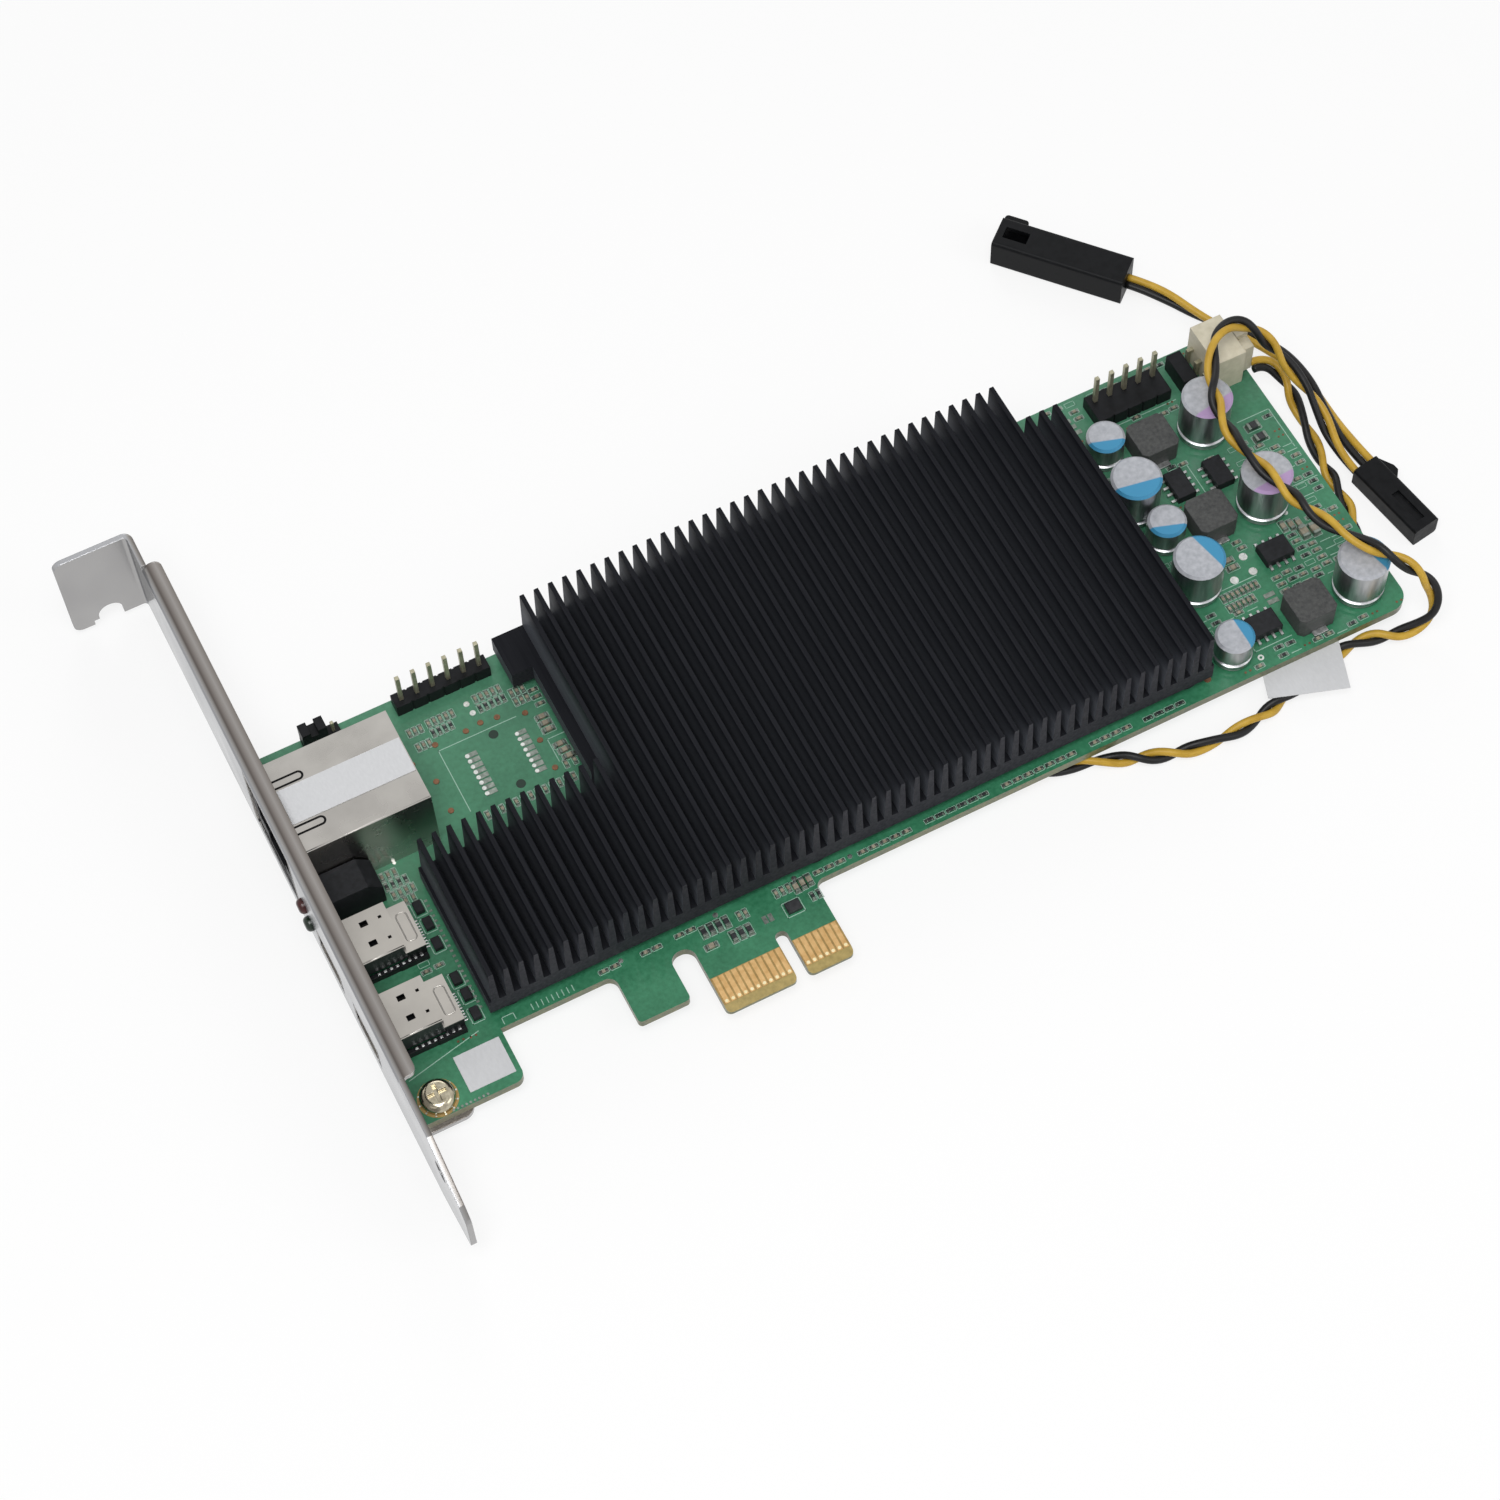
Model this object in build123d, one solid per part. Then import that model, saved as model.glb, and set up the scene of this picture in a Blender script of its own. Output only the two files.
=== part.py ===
from build123d import *
import os
from math import cos, radians, sin, tan

# Remote access host card: a circuit board with an edge connector, a bracket, one large
# heat sink and a two-wire harness. Millimetres. While it is built, x runs from the key
# notch to the far end, y from the finger edge to the top edge, and z = 0 is the side of
# the board that carries the parts.

# Circuit board
BOARD_T = 1.57
BOARD_LEFT_GAP = 0.14
BOARD_RIGHT = 109.04
BOARD_LOW = 12.8
BOARD_TOP = 68.9
BOARD_CORNER_R = 3.0
TAB_LOW = 4.2
TAB_RIGHT = -41.8
TAB_CORNER_R = 1.5
TONGUE_LEFT = -24.0
TONGUE_RIGHT = -15.82
TONGUE_LOW = 4.4
TONGUE_CORNER_R = 0.7
SLOT_TOP = 11.9
NOTCH_W = 1.9
NOTCH_TOP = 8.0
ROUND_SHARE = 0.92  # of the largest fillet that fits in a slot's end

# Edge connector
PITCH = 1.0
LEFT_PADS = 11
RIGHT_PADS = 7
FIRST_PAD_X = 1.5
PAD_W = 0.7
PAD_LOW = 1.4
PAD_TOP = 5.8
PAD_T = 0.05
FINGER_SIDE = 0.65
FINGER_CORNER_R = 0.9
BEVEL_H = 1.31
BEVEL_T = 0.5

# Bracket
SHEET = 0.86
FACE_X = -59.2
BRACKET_LOW_Z = -3.0
BRACKET_TOP_Y = 104.67
TIP_Y = -15.35
TIP_LOW_Z = 0.4
TIP_TOP_Z = 9.0
TIP_R = 1.5
TAIL_LOW_START_Y = -5.0
TAIL_TOP_START_Y = -4.2
TAIL_BEND = (-13.5, 11.0)
TAIL_TIP_DROP = 1.0
FLANGE_W = 2.9
FLANGE_LOW = 5.3
FLANGE_TOP = 98.0
FLANGE_END_R = 1.2
BEND_R = 1.5
TOP_TAB_REACH = 11.7
NOTCH_NEAR = 3.7
NOTCH_FAR = 7.6
NOTCH_DEPTH = 3.6
LOBE_FAR = 8.5
STEP_DEPTH = 1.0
TAIL_HOLE = (-7.2, 10.0)
TAIL_HOLE_R = 1.65
WINDOW_GAP = 0.4
EAR_LENGTH = 8.6
EAR_LOW = 3.4
EAR_TOP = 11.0
EAR_R = 2.0

# Bracket screw
BRACKET_SCREW = (-54.1, 7.2)
BRACKET_SCREW_R = 1.5
BRACKET_HEAD_R = 2.6
BRACKET_HEAD_H = 1.8
BRACKET_HEAD_EDGE = 1.1
BRACKET_SCREW_PROUD = 0.5
RECESS_LENGTH = 2.8
RECESS_W = 0.6
RECESS_DEPTH = 0.9
SHANK_GAP = 0.08

# Heat sink
SINK_LOW = 1.6
SINK_BASE_TOP = 4.9
FIN_TOP = 13.0
SINK_LEFT = -42.2
SINK_RIGHT = 75.6
SINK_NEAR_Y = 14.85
SHORT_FIN_Y = 39.0
LONG_FIN_Y = 68.75
END_FIN_Y = 61.5
FIRST_FIN_X = -41.15
FIN_PITCH = 2.313
FINS = 51
SHORT_FINS = 13
END_FINS = 3
FIN_ROOT = 1.2
FIN_TIP = 0.7
POCKET_RIGHT = -13.4
POCKET_R = 3.0
BLOCK_LEFT = -16.8
END_STEP_X = 68.8
SINK_SCREWS = [(-38.6, 18.4), (-38.6, 35.6), (10.2, 18.4), (72.2, 18.4), (65.4, 65.0), (-9.4, 65.0)]
SINK_BOSS_R = 3.0
SINK_SHANK_R = 1.25
SINK_HEAD_R = 2.75
SINK_HEAD_H = 2.2
SINK_SCREW_BITE = 2.2
WASHER_R = 3.2
WASHER_T = 0.47
HOLE_GAP = 0.15

# Chips under the heat sink
PROCESSOR = (27.0, 27.0)
PROCESSOR_AT = (4.0, 41.0)
MEMORY = (11.0, 12.0)
MEMORY_AT = [(32.0, 30.0), (32.0, 48.0), (50.0, 30.0), (50.0, 48.0)]
CHIP_H = 1.2

# Network socket
JACK_LOW_Y = 44.0
JACK_TOP_Y = 60.0
JACK_END_X = -36.85
JACK_H = 13.5
JACK_FLANGE_GAP = 1.06
JACK_SHEET = 0.3
JACK_ROOF = 1.9
JACK_CAVITY_W = 11.8
JACK_CAVITY_H = 7.6
JACK_CAVITY_DEPTH = 14.0
JACK_LATCH_W = 6.2
JACK_LATCH_H = 2.6
JACK_CONTACTS = 8
JACK_CONTACT_PITCH = 1.02
JACK_CONTACT_W = 0.45
JACK_CONTACT_REACH = 9.0
JACK_CONTACT_DROP = 3.0
JACK_CONTACT_T = 0.6
SPRING_YS = (47.9, 56.1)
SPRING_END_X = -51.5
SPRING_W = 1.6
SPRING_CUT = 0.35
SPRING_FREE_L = 5.6
BAND = (-57.5, -37.0, 49.0, 55.0)
LABEL_T = 0.1

# Display sockets
DISPLAY_W = 7.9
DISPLAY_H = 4.9
DISPLAY_Z = 0.35
DISPLAY_SHEET = 0.3
DISPLAY_CHAMFER = 1.2
DISPLAY_MAIN_X = -49.0
DISPLAY_REAR_X = -46.1
DISPLAY_YS = (32.25, 19.25)
DISPLAY_REAR_W = 7.8
DISPLAY_REAR_SHIFT = -0.75
DISPLAY_REAR_DROP = 0.9
DISPLAY_TONGUE_W = 5.2
DISPLAY_TONGUE_T = 1.0
DISPLAY_TONGUE_TIP = 1.2
DISPLAY_FOOT = (0.9, 2.7)
DISPLAY_WINDOW = (1.2, 0.9)
DISPLAY_WINDOWS = [(5.5, 2.0), (5.5, -1.4)]
DISPLAY_PIP = (0.5, 0.45)
DISPLAY_PIPS = [(8.0, 2.0), (8.0, -1.6)]
DISPLAY_RAIL_L = 4.4
DISPLAY_RAIL_W = 0.8
DISPLAY_RAIL_H = 1.3

# Light holder
HOLDER = (-56.0, -47.8, 38.8, 43.8)
HOLDER_H = 6.3
HOLDER_CHAMFER = 2.1
LENS_R = 1.2
LENS_PROUD = 0.9
LENS_EDGE_R = 0.7
LENS_GAP = 0.15
LENS_AT = {"lens_red": (41.2, 4.7), "lens_green": (39.7, 1.7)}
CLIP = (-57.6, -56.2, 42.6, 43.6)
CLIP_H = 5.6

# Pin headers
PIN_PITCH = 2.54
PIN_W = 0.64
HEADER_H = 2.5
HEADER_W = 2.5
HEADER_NICK = 0.32
PIN_TOP = 8.5
SIX_AT = (-26.2, 67.05)
SIX_PINS = 6
JUMPER_AT = (-45.5, 67.45)
JUMPER_PITCH = 2.0
JUMPER_W = 2.2
JUMPER_PINS = 3
JUMPER_BASE_H = 1.5
JUMPER_PIN_TOP = 3.7
JUMPER_PIN_W = 0.5
JUMPER_CAP_H = 3.5
JUMPER_CAP_GAP = 0.1
JUMPER_CAP_SLOT = (1.2, 1.1)
TEN_AT = (89.4, 64.0)
TEN_COLUMNS = 5
KEY_BLOCK = (97.8, 100.2, 61.2, 66.8)
KEY_BLOCK_H = 3.4

# Cable header and plug
CABLE_HEADER = (101.9, 107.2, 59.2, 67.2)
CABLE_HEADER_H = 7.8
CABLE_WALL = 0.9
PLUG_GAP = 0.1
PLUG_END_X = 109.3
PLUG_BACK_X = 103.2
CABLE_PINS = 3
CABLE_PIN_REACH = 1.1
CABLE_PIN_Z = 3.9

# Capacitors: place, radius, height
SMALL_R = 3.0
SMALL_H = 5.8
LARGE_R = 3.95
LARGE_H = 8.6
TALL_H = 9.2
CAPACITORS = {
    "capacitor_small_1": ((81.3, 57.0), SMALL_R, SMALL_H),
    "capacitor_small_2": ((81.9, 39.5), SMALL_R, SMALL_H),
    "capacitor_small_3": ((80.6, 17.4), SMALL_R, SMALL_H),
    "capacitor_large_1": ((80.6, 46.8), LARGE_R, LARGE_H),
    "capacitor_large_2": ((81.8, 30.2), LARGE_R, LARGE_H),
    "capacitor_large_3": ((103.3, 18.8), LARGE_R, LARGE_H),
    "capacitor_tall_1": ((97.2, 54.2), LARGE_R, TALL_H),
    "capacitor_tall_2": ((98.2, 38.2), LARGE_R, TALL_H),
}
CAP_BASE_H = 0.6
CAP_BASE_GAP = 0.25
GROOVE_Z = 1.3
GROOVE_H = 0.8
GROOVE_DEPTH = 0.35
CAP_EDGE = 0.4

# Inductors
INDUCTOR_W = 6.4
INDUCTOR_H = 4.0
INDUCTOR_EDGE = 0.7
INDUCTOR_AT = {"inductor_1": (88.4, 54.8), "inductor_2": (89.3, 38.8), "inductor_3": (94.2, 18.3)}
TERMINAL_W = 2.4
TERMINAL_L = 0.9
TERMINAL_T = 0.5

# Power chips: centre x, y, body length along x, width along y
POWER_CHIPS = [(88.6, 46.6, 3.0, 5.0), (95.0, 45.9, 3.0, 5.0), (95.4, 29.7, 4.7, 3.5), (87.1, 19.4, 4.7, 3.5)]
POWER_CHIP_H = 1.5
LEADS_A_SIDE = 4
LEAD_W = 0.42
LEAD_L = 0.9
LEAD_T = 0.5
LEAD_PITCH = 1.27

# Small black filters beside the display sockets
FILTER = (1.3, 1.9, 0.9)
FILTERS_AT = [(-44.3, 35.4), (-44.1, 32.4), (-44.3, 28.9), (-44.2, 22.6), (-43.9, 19.7), (-44.0, 16.4)]

# Stickers
STICKER = (-49.7, -42.6, 5.8, 11.8)

# Solder joints under the board
JOINT_R = 0.75
JOINT_TIP_R = 0.35
JOINT_H = 0.9
JOINT_INSET = 1.0

# Inline connectors on the harness
A_REAR = (101.7, 85.1)
A_HEADING = 130.7
A_SIZE = (22.0, 5.8, 5.6)
A_BORE = (12.0, 4.2, 4.0)
A_LATCH = (4.0, 3.4, 1.3)
A_LATCH_SHEET = 0.6
A_WINDOW = (4.0, 2.2, 1.2)
B_REAR = (116.4, 37.5)
B_HEADING = -81.0
B_SIZE = (14.2, 4.7, 3.8)
B_GROOVE = (6.0, 1.4, 0.5)
B_GROOVE_END = 1.4
B_LATCH = (4.8, 2.4, 1.2)
B_LATCH_FLAT = 1.0
CONNECTOR_EDGE = 0.6
REST_GAP = 0.02

# Harness: each lead is a twisted pair, drawn as one round tube
PAIR_D = 2.4
PAIR_OFFSET = 1.25
LEAD_PORT = (60.0, 1.7)
PLUG_STUB = 2.6
CONNECTOR_STUB = 5.0
BEND_SHARE = 0.45  # of the shorter run that an arc takes
LONG_ROUTE = [
    (113.4, 56.0, 0.0), (113.0, 51.6, -1.9), (112.6, 46.6, -2.95),
    (111.6, 41.4, -2.95), (111.2, 36.0, -2.95), (110.4, 30.4, -2.95), (107.8, 25.2, -2.95),
    (102.2, 22.4, -2.95), (94.6, 22.2, -2.95), (84.4, 24.4, -2.95), (72.4, 28.4, -2.95),
    (60.5, 32.4, -2.95), (49.5, 34.0, -2.95), (40.6, 31.2, -2.95), (36.6, 24.2, -2.95),
    (39.0, 17.2, -2.95), (46.0, 14.4, -2.95), (53.4, 13.2, -2.95), (60.4, 10.0, -2.95),
    (67.8, 7.4, -2.95), (76.2, 6.9, -2.95), (84.8, 8.6, -2.95), (93.4, 11.4, -2.95),
    (100.4, 12.2, -2.95), (106.2, 9.8, -2.8), (110.8, 9.4, -0.6), (111.4, 10.8, 4.4),
    (109.0, 13.4, 8.4), (105.8, 17.0, 10.3), (102.2, 22.2, 10.5), (99.6, 28.0, 10.6),
    (97.9, 33.4, 11.2), (96.8, 39.0, 11.3), (95.9, 44.4, 11.0), (96.3, 49.6, 11.2),
    (97.8, 54.2, 11.7), (99.8, 58.0, 12.4), (102.6, 61.4, 13.0), (106.4, 62.2, 12.8),
    (109.4, 60.2, 10.8), (111.6, 57.6, 7.4), (113.4, 54.4, 4.0), (114.9, 49.8, 1.4),
]
LINK_ROUTE = [
    (117.4, 49.4, -2.95), (118.0, 55.8, -2.95), (116.8, 62.2, -2.95), (113.6, 68.2, -2.95),
    (109.4, 73.6, -2.8),
]

# Flag on the long lead
FLAG = (12.4, 9.4)
FLAG_AT = (89.6, 11.6)
FLAG_TURN = -19.0
FLAG_T = 0.15

# Where the pieces meet
BRACKET_TOP_Z = JACK_H + JACK_FLANGE_GAP + SHEET
JACK_CAVITY_Z = JACK_H - JACK_ROOF - JACK_CAVITY_H
BRACKET_BACK_X = FACE_X + SHEET
BOARD_LEFT = BRACKET_BACK_X + BOARD_LEFT_GAP
FINGER_LEFT = -FIRST_PAD_X - (LEFT_PADS - 1) * PITCH - FINGER_SIDE
FINGER_RIGHT = FIRST_PAD_X + (RIGHT_PADS - 1) * PITCH + FINGER_SIDE
FLOOR_Z = -BOARD_T - WASHER_T - SINK_HEAD_H
MIDDLE_X = (FACE_X - TOP_TAB_REACH + BOARD_RIGHT) / 2
MIDDLE_Y = (TIP_Y + BRACKET_TOP_Y) / 2
TO_ORIGIN = Pos(-MIDDLE_X, -MIDDLE_Y, -FLOOR_Z)
JACK_MIDDLE_Y = (JACK_LOW_Y + JACK_TOP_Y) / 2


def rect(x0, x1, y0, y1):
    """A flat rectangle between two corners."""
    return Pos((x0 + x1) / 2, (y0 + y1) / 2) * Rectangle(x1 - x0, y1 - y0)


def block(x0, x1, y0, y1, z0, z1):
    """A box between two corners."""
    return Pos(0, 0, z0) * extrude(rect(x0, x1, y0, y1), z1 - z0)


def block_at(x, y, length, width, z0, z1):
    """A box centred on a place."""
    return block(x - length / 2, x + length / 2, y - width / 2, y + width / 2, z0, z1)


def rod(x, y, radius, z0, z1):
    """An upright cylinder."""
    return Pos(x, y, z0) * extrude(Circle(radius), z1 - z0)


def outline(points):
    """A flat face inside a closed run of straight edges."""
    return make_face(Polyline(*points, close=True))


def prism_x(face, x0, x1):
    """A face drawn in y and z, drawn out along x."""
    return Pos(x0, 0, 0) * extrude(Plane.YZ * face, x1 - x0)


def prism_y(face, y0, y1):
    """A face drawn in x and z, drawn out along y."""
    return Pos(0, y1, 0) * extrude(Plane.XZ * face, y1 - y0)


def corner(face, x, y):
    """The corner of a face that is nearest to a place."""
    return min(face.vertices(), key=lambda v: abs(v.X - x) + abs(v.Y - y))


def top_edges(solid):
    """The edges round the highest flat face."""
    return solid.faces().sort_by(Axis.Z)[-1].edges()


def circuit_board():
    face = rect(BOARD_LEFT, BOARD_RIGHT, BOARD_LOW, BOARD_TOP)
    face += rect(BOARD_LEFT, TAB_RIGHT, TAB_LOW, BOARD_TOP)
    face += rect(TONGUE_LEFT, TONGUE_RIGHT, TONGUE_LOW, BOARD_TOP)
    face += rect(TONGUE_RIGHT, FINGER_LEFT, SLOT_TOP, BOARD_TOP)
    face += rect(FINGER_LEFT, FINGER_RIGHT, 0, BOARD_TOP)
    face -= rect(-NOTCH_W / 2, NOTCH_W / 2, 0, NOTCH_TOP)
    for y in (BOARD_LOW, BOARD_TOP):
        face = fillet(corner(face, BOARD_RIGHT, y), BOARD_CORNER_R)
    for x, y in ((TAB_RIGHT, TAB_LOW), (TONGUE_LEFT, BOARD_LOW), (FINGER_RIGHT, BOARD_LOW)):
        face = fillet(corner(face, x, y), TAB_CORNER_R)
    for x in (TONGUE_LEFT, TONGUE_RIGHT):
        face = fillet(corner(face, x, TONGUE_LOW), TONGUE_CORNER_R)
    for x in (FINGER_LEFT, -NOTCH_W / 2, NOTCH_W / 2, FINGER_RIGHT):
        face = fillet(corner(face, x, 0), FINGER_CORNER_R)
    slot_r = (FINGER_LEFT - TONGUE_RIGHT) / 2 * ROUND_SHARE
    for x in (TONGUE_RIGHT, FINGER_LEFT):
        face = fillet(corner(face, x, SLOT_TOP), slot_r)
    for x in (-NOTCH_W / 2, NOTCH_W / 2):
        face = fillet(corner(face, x, NOTCH_TOP), NOTCH_W / 2 * ROUND_SHARE)
    board = Pos(0, 0, -BOARD_T) * extrude(face, BOARD_T)
    for z, inner in ((0, -BEVEL_T), (-BOARD_T, BEVEL_T - BOARD_T)):
        bevel = outline([(0, z), (BEVEL_H, z), (0, inner)])
        board -= prism_x(bevel, FINGER_LEFT, FINGER_RIGHT)
    for x, y in SINK_SCREWS:
        board -= rod(x, y, SINK_SHANK_R + HOLE_GAP, -BOARD_T, 0)
    board -= rod(*BRACKET_SCREW, BRACKET_SCREW_R + HOLE_GAP, -BOARD_T, 0)
    return board


def gold_fingers():
    centres = [-FIRST_PAD_X - PITCH * n for n in range(LEFT_PADS)]
    centres += [FIRST_PAD_X + PITCH * n for n in range(RIGHT_PADS)]
    pads = []
    for x in centres:
        for z in (0, -BOARD_T - PAD_T):
            pads.append(block(x - PAD_W / 2, x + PAD_W / 2, PAD_LOW, PAD_TOP, z, z + PAD_T))
    return pads


def bracket_plate():
    """The flat front of the bracket with its tapered tail."""
    tail_slope = (BRACKET_TOP_Z - TAIL_BEND[1]) / (TAIL_TOP_START_Y - TAIL_BEND[0])
    face = outline([
        (BRACKET_TOP_Y - BEND_R, BRACKET_LOW_Z), (BRACKET_TOP_Y - BEND_R, BRACKET_TOP_Z),
        (TAIL_TOP_START_Y, BRACKET_TOP_Z), TAIL_BEND,
        (TIP_Y, TAIL_BEND[1] + tail_slope * (TIP_Y - TAIL_BEND[0]) - TAIL_TIP_DROP),
        (TIP_Y, TIP_LOW_Z),
        (TAIL_LOW_START_Y, BRACKET_LOW_Z),
    ])
    for z in (TIP_TOP_Z, TIP_LOW_Z):
        face = fillet(corner(face, TIP_Y, z), TIP_R)
    return prism_x(face, FACE_X, BRACKET_BACK_X)


def bracket_flange():
    """The long edge that is folded in over the board."""
    section = rect(FACE_X, BRACKET_BACK_X, BRACKET_LOW_Z, BRACKET_TOP_Z)
    section += rect(FACE_X, FACE_X + FLANGE_W, BRACKET_TOP_Z - SHEET, BRACKET_TOP_Z)
    section = fillet(corner(section, FACE_X, BRACKET_TOP_Z), BEND_R)
    section = fillet(corner(section, BRACKET_BACK_X, BRACKET_TOP_Z - SHEET), BEND_R - SHEET)
    flange = prism_y(section, FLANGE_LOW, FLANGE_TOP)
    for y in (FLANGE_LOW, FLANGE_TOP):
        free_corner = (FACE_X + FLANGE_W, y, BRACKET_TOP_Z)
        edge = flange.edges().filter_by(Axis.Z).sort_by_distance(free_corner)[0]
        flange = fillet(edge, FLANGE_END_R)
    return flange


def bracket_top_tab():
    """The tab that is folded out at the top, with the notch for the case screw."""
    far_x = FACE_X - TOP_TAB_REACH
    low_y = BRACKET_TOP_Y - SHEET
    face = rect(far_x, FACE_X + SHEET, low_y, BRACKET_TOP_Y)
    face += rect(FACE_X, BRACKET_BACK_X, BRACKET_TOP_Y - 2 * BEND_R, BRACKET_TOP_Y)
    face = fillet(corner(face, BRACKET_BACK_X, BRACKET_TOP_Y), BEND_R)
    face = fillet(corner(face, FACE_X, low_y), BEND_R - SHEET)
    tab = Pos(0, 0, BRACKET_LOW_Z) * extrude(face, BRACKET_TOP_Z - BRACKET_LOW_Z)
    notch_r = (NOTCH_FAR - NOTCH_NEAR) / 2
    round_z = BRACKET_LOW_Z + NOTCH_DEPTH - notch_r
    notch = rect(FACE_X - NOTCH_FAR, FACE_X - NOTCH_NEAR, BRACKET_LOW_Z, round_z)
    notch += Pos(FACE_X - (NOTCH_NEAR + NOTCH_FAR) / 2, round_z) * Circle(notch_r)
    notch += rect(FACE_X - LOBE_FAR, FACE_X - NOTCH_FAR, BRACKET_LOW_Z, BRACKET_LOW_Z + STEP_DEPTH)
    tab -= prism_y(notch, low_y, BRACKET_TOP_Y)
    for z in (BRACKET_LOW_Z, BRACKET_TOP_Z):
        edge = tab.edges().filter_by(Axis.Y).sort_by_distance((far_x, BRACKET_TOP_Y, z))[0]
        tab = fillet(edge, BEND_R)
    return tab


def bracket_windows():
    """What is cut out of the bracket for the sockets and lights."""
    cuts = [rect(JACK_LOW_Y - WINDOW_GAP, JACK_TOP_Y + WINDOW_GAP, -WINDOW_GAP, JACK_H + WINDOW_GAP)]
    for y in DISPLAY_YS:
        half = DISPLAY_W / 2 + WINDOW_GAP
        cuts.append(rect(y - half, y + half, DISPLAY_Z - WINDOW_GAP, DISPLAY_Z + DISPLAY_H + WINDOW_GAP))
    cuts += [Pos(y, z) * Circle(LENS_R + LENS_GAP) for y, z in LENS_AT.values()]
    cuts.append(Pos(*TAIL_HOLE) * Circle(TAIL_HOLE_R))
    return [prism_x(cut, FACE_X, BRACKET_BACK_X) for cut in cuts]


def io_bracket():
    ear = rect(FACE_X, BRACKET_BACK_X + EAR_LENGTH, EAR_LOW, EAR_TOP)
    for y in (EAR_LOW, EAR_TOP):
        ear = fillet(corner(ear, BRACKET_BACK_X + EAR_LENGTH, y), EAR_R)
    ear = Pos(0, 0, -BOARD_T - SHEET) * extrude(ear, SHEET)
    bracket = bracket_flange() + bracket_top_tab() + ear
    keep = bracket_plate()
    keep -= block(FACE_X, BRACKET_BACK_X, FLANGE_LOW, FLANGE_TOP, BRACKET_LOW_Z, BRACKET_TOP_Z)
    bracket += keep
    for cut in bracket_windows():
        bracket -= cut
    return bracket - rod(*BRACKET_SCREW, BRACKET_SCREW_R + SHANK_GAP, BRACKET_LOW_Z, 0)


def bracket_screw():
    x, y = BRACKET_SCREW
    head = rod(x, y, BRACKET_HEAD_R, 0, BRACKET_HEAD_H)
    head = fillet(top_edges(head), BRACKET_HEAD_EDGE)
    for length, width in ((RECESS_LENGTH, RECESS_W), (RECESS_W, RECESS_LENGTH)):
        head -= block_at(x, y, length, width, BRACKET_HEAD_H - RECESS_DEPTH, BRACKET_HEAD_H)
    return head + rod(x, y, BRACKET_SCREW_R, -BOARD_T - SHEET - BRACKET_SCREW_PROUD, 0)


def fin_centre(n):
    return FIRST_FIN_X + FIN_PITCH * n


def fin_end(n):
    """How far along y a fin runs."""
    if n < SHORT_FINS:
        return SHORT_FIN_Y
    return END_FIN_Y if n >= FINS - END_FINS else LONG_FIN_Y


def heat_sink():
    base = rect(SINK_LEFT, SINK_RIGHT, SINK_NEAR_Y, LONG_FIN_Y)
    base -= rect(SINK_LEFT, POCKET_RIGHT, SHORT_FIN_Y, LONG_FIN_Y)
    base -= rect(END_STEP_X, SINK_RIGHT, END_FIN_Y, LONG_FIN_Y)
    base = fillet(corner(base, POCKET_RIGHT, SHORT_FIN_Y), POCKET_R)
    base += rect(BLOCK_LEFT, POCKET_RIGHT, END_FIN_Y, LONG_FIN_Y)
    sink = Pos(0, 0, SINK_LOW) * extrude(base, SINK_BASE_TOP - SINK_LOW)
    fins = []
    for n in range(FINS):
        x = fin_centre(n)
        section = outline([
            (x - FIN_ROOT / 2, SINK_BASE_TOP), (x + FIN_ROOT / 2, SINK_BASE_TOP),
            (x + FIN_TIP / 2, FIN_TOP), (x - FIN_TIP / 2, FIN_TOP),
        ])
        fins.append(prism_y(section, SINK_NEAR_Y, fin_end(n)))
    sink += fins
    for x, y in SINK_SCREWS:
        sink += rod(x, y, SINK_BOSS_R, 0, SINK_LOW)
        sink -= rod(x, y, SINK_SHANK_R + SHANK_GAP, 0, SINK_LOW + SINK_SCREW_BITE)
    return sink


def heat_sink_screws():
    head_top = -BOARD_T - WASHER_T
    screws = []
    for x, y in SINK_SCREWS:
        screw = rod(x, y, SINK_HEAD_R, head_top - SINK_HEAD_H, head_top)
        screw -= block_at(x, y, RECESS_LENGTH, RECESS_W, FLOOR_Z, FLOOR_Z + RECESS_DEPTH)
        screw -= block_at(x, y, RECESS_W, RECESS_LENGTH, FLOOR_Z, FLOOR_Z + RECESS_DEPTH)
        screws.append(screw + rod(x, y, SINK_SHANK_R, head_top, SINK_LOW + SINK_SCREW_BITE - SHANK_GAP))
    return screws


def heat_sink_washers():
    washers = []
    for x, y in SINK_SCREWS:
        ring = rod(x, y, WASHER_R, -BOARD_T - WASHER_T, -BOARD_T)
        washers.append(ring - rod(x, y, SINK_SHANK_R + SHANK_GAP, -BOARD_T - WASHER_T, -BOARD_T))
    return washers


def thermal_pads():
    pads = [block_at(*PROCESSOR_AT, *PROCESSOR, CHIP_H, SINK_LOW)]
    return pads + [block_at(*place, *MEMORY, CHIP_H, SINK_LOW) for place in MEMORY_AT]


def spring_outline(y, radius):
    """A spring of the network socket seen from above: a strip with a round end."""
    middle = SPRING_END_X - SPRING_W / 2
    return rect(middle - SPRING_FREE_L, middle, y - radius, y + radius) + Pos(middle, y) * Circle(radius)


def jack_shell():
    shell = block(FACE_X, JACK_END_X, JACK_LOW_Y, JACK_TOP_Y, 0, JACK_H)
    shell -= block(FACE_X, JACK_END_X - JACK_SHEET, JACK_LOW_Y + JACK_SHEET,
                   JACK_TOP_Y - JACK_SHEET, 0, JACK_H - JACK_SHEET)
    for y in SPRING_YS:
        slot = spring_outline(y, SPRING_W / 2) - spring_outline(y, SPRING_W / 2 - SPRING_CUT)
        shell -= Pos(0, 0, JACK_H - JACK_SHEET) * extrude(slot, JACK_SHEET)
    return shell


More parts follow.
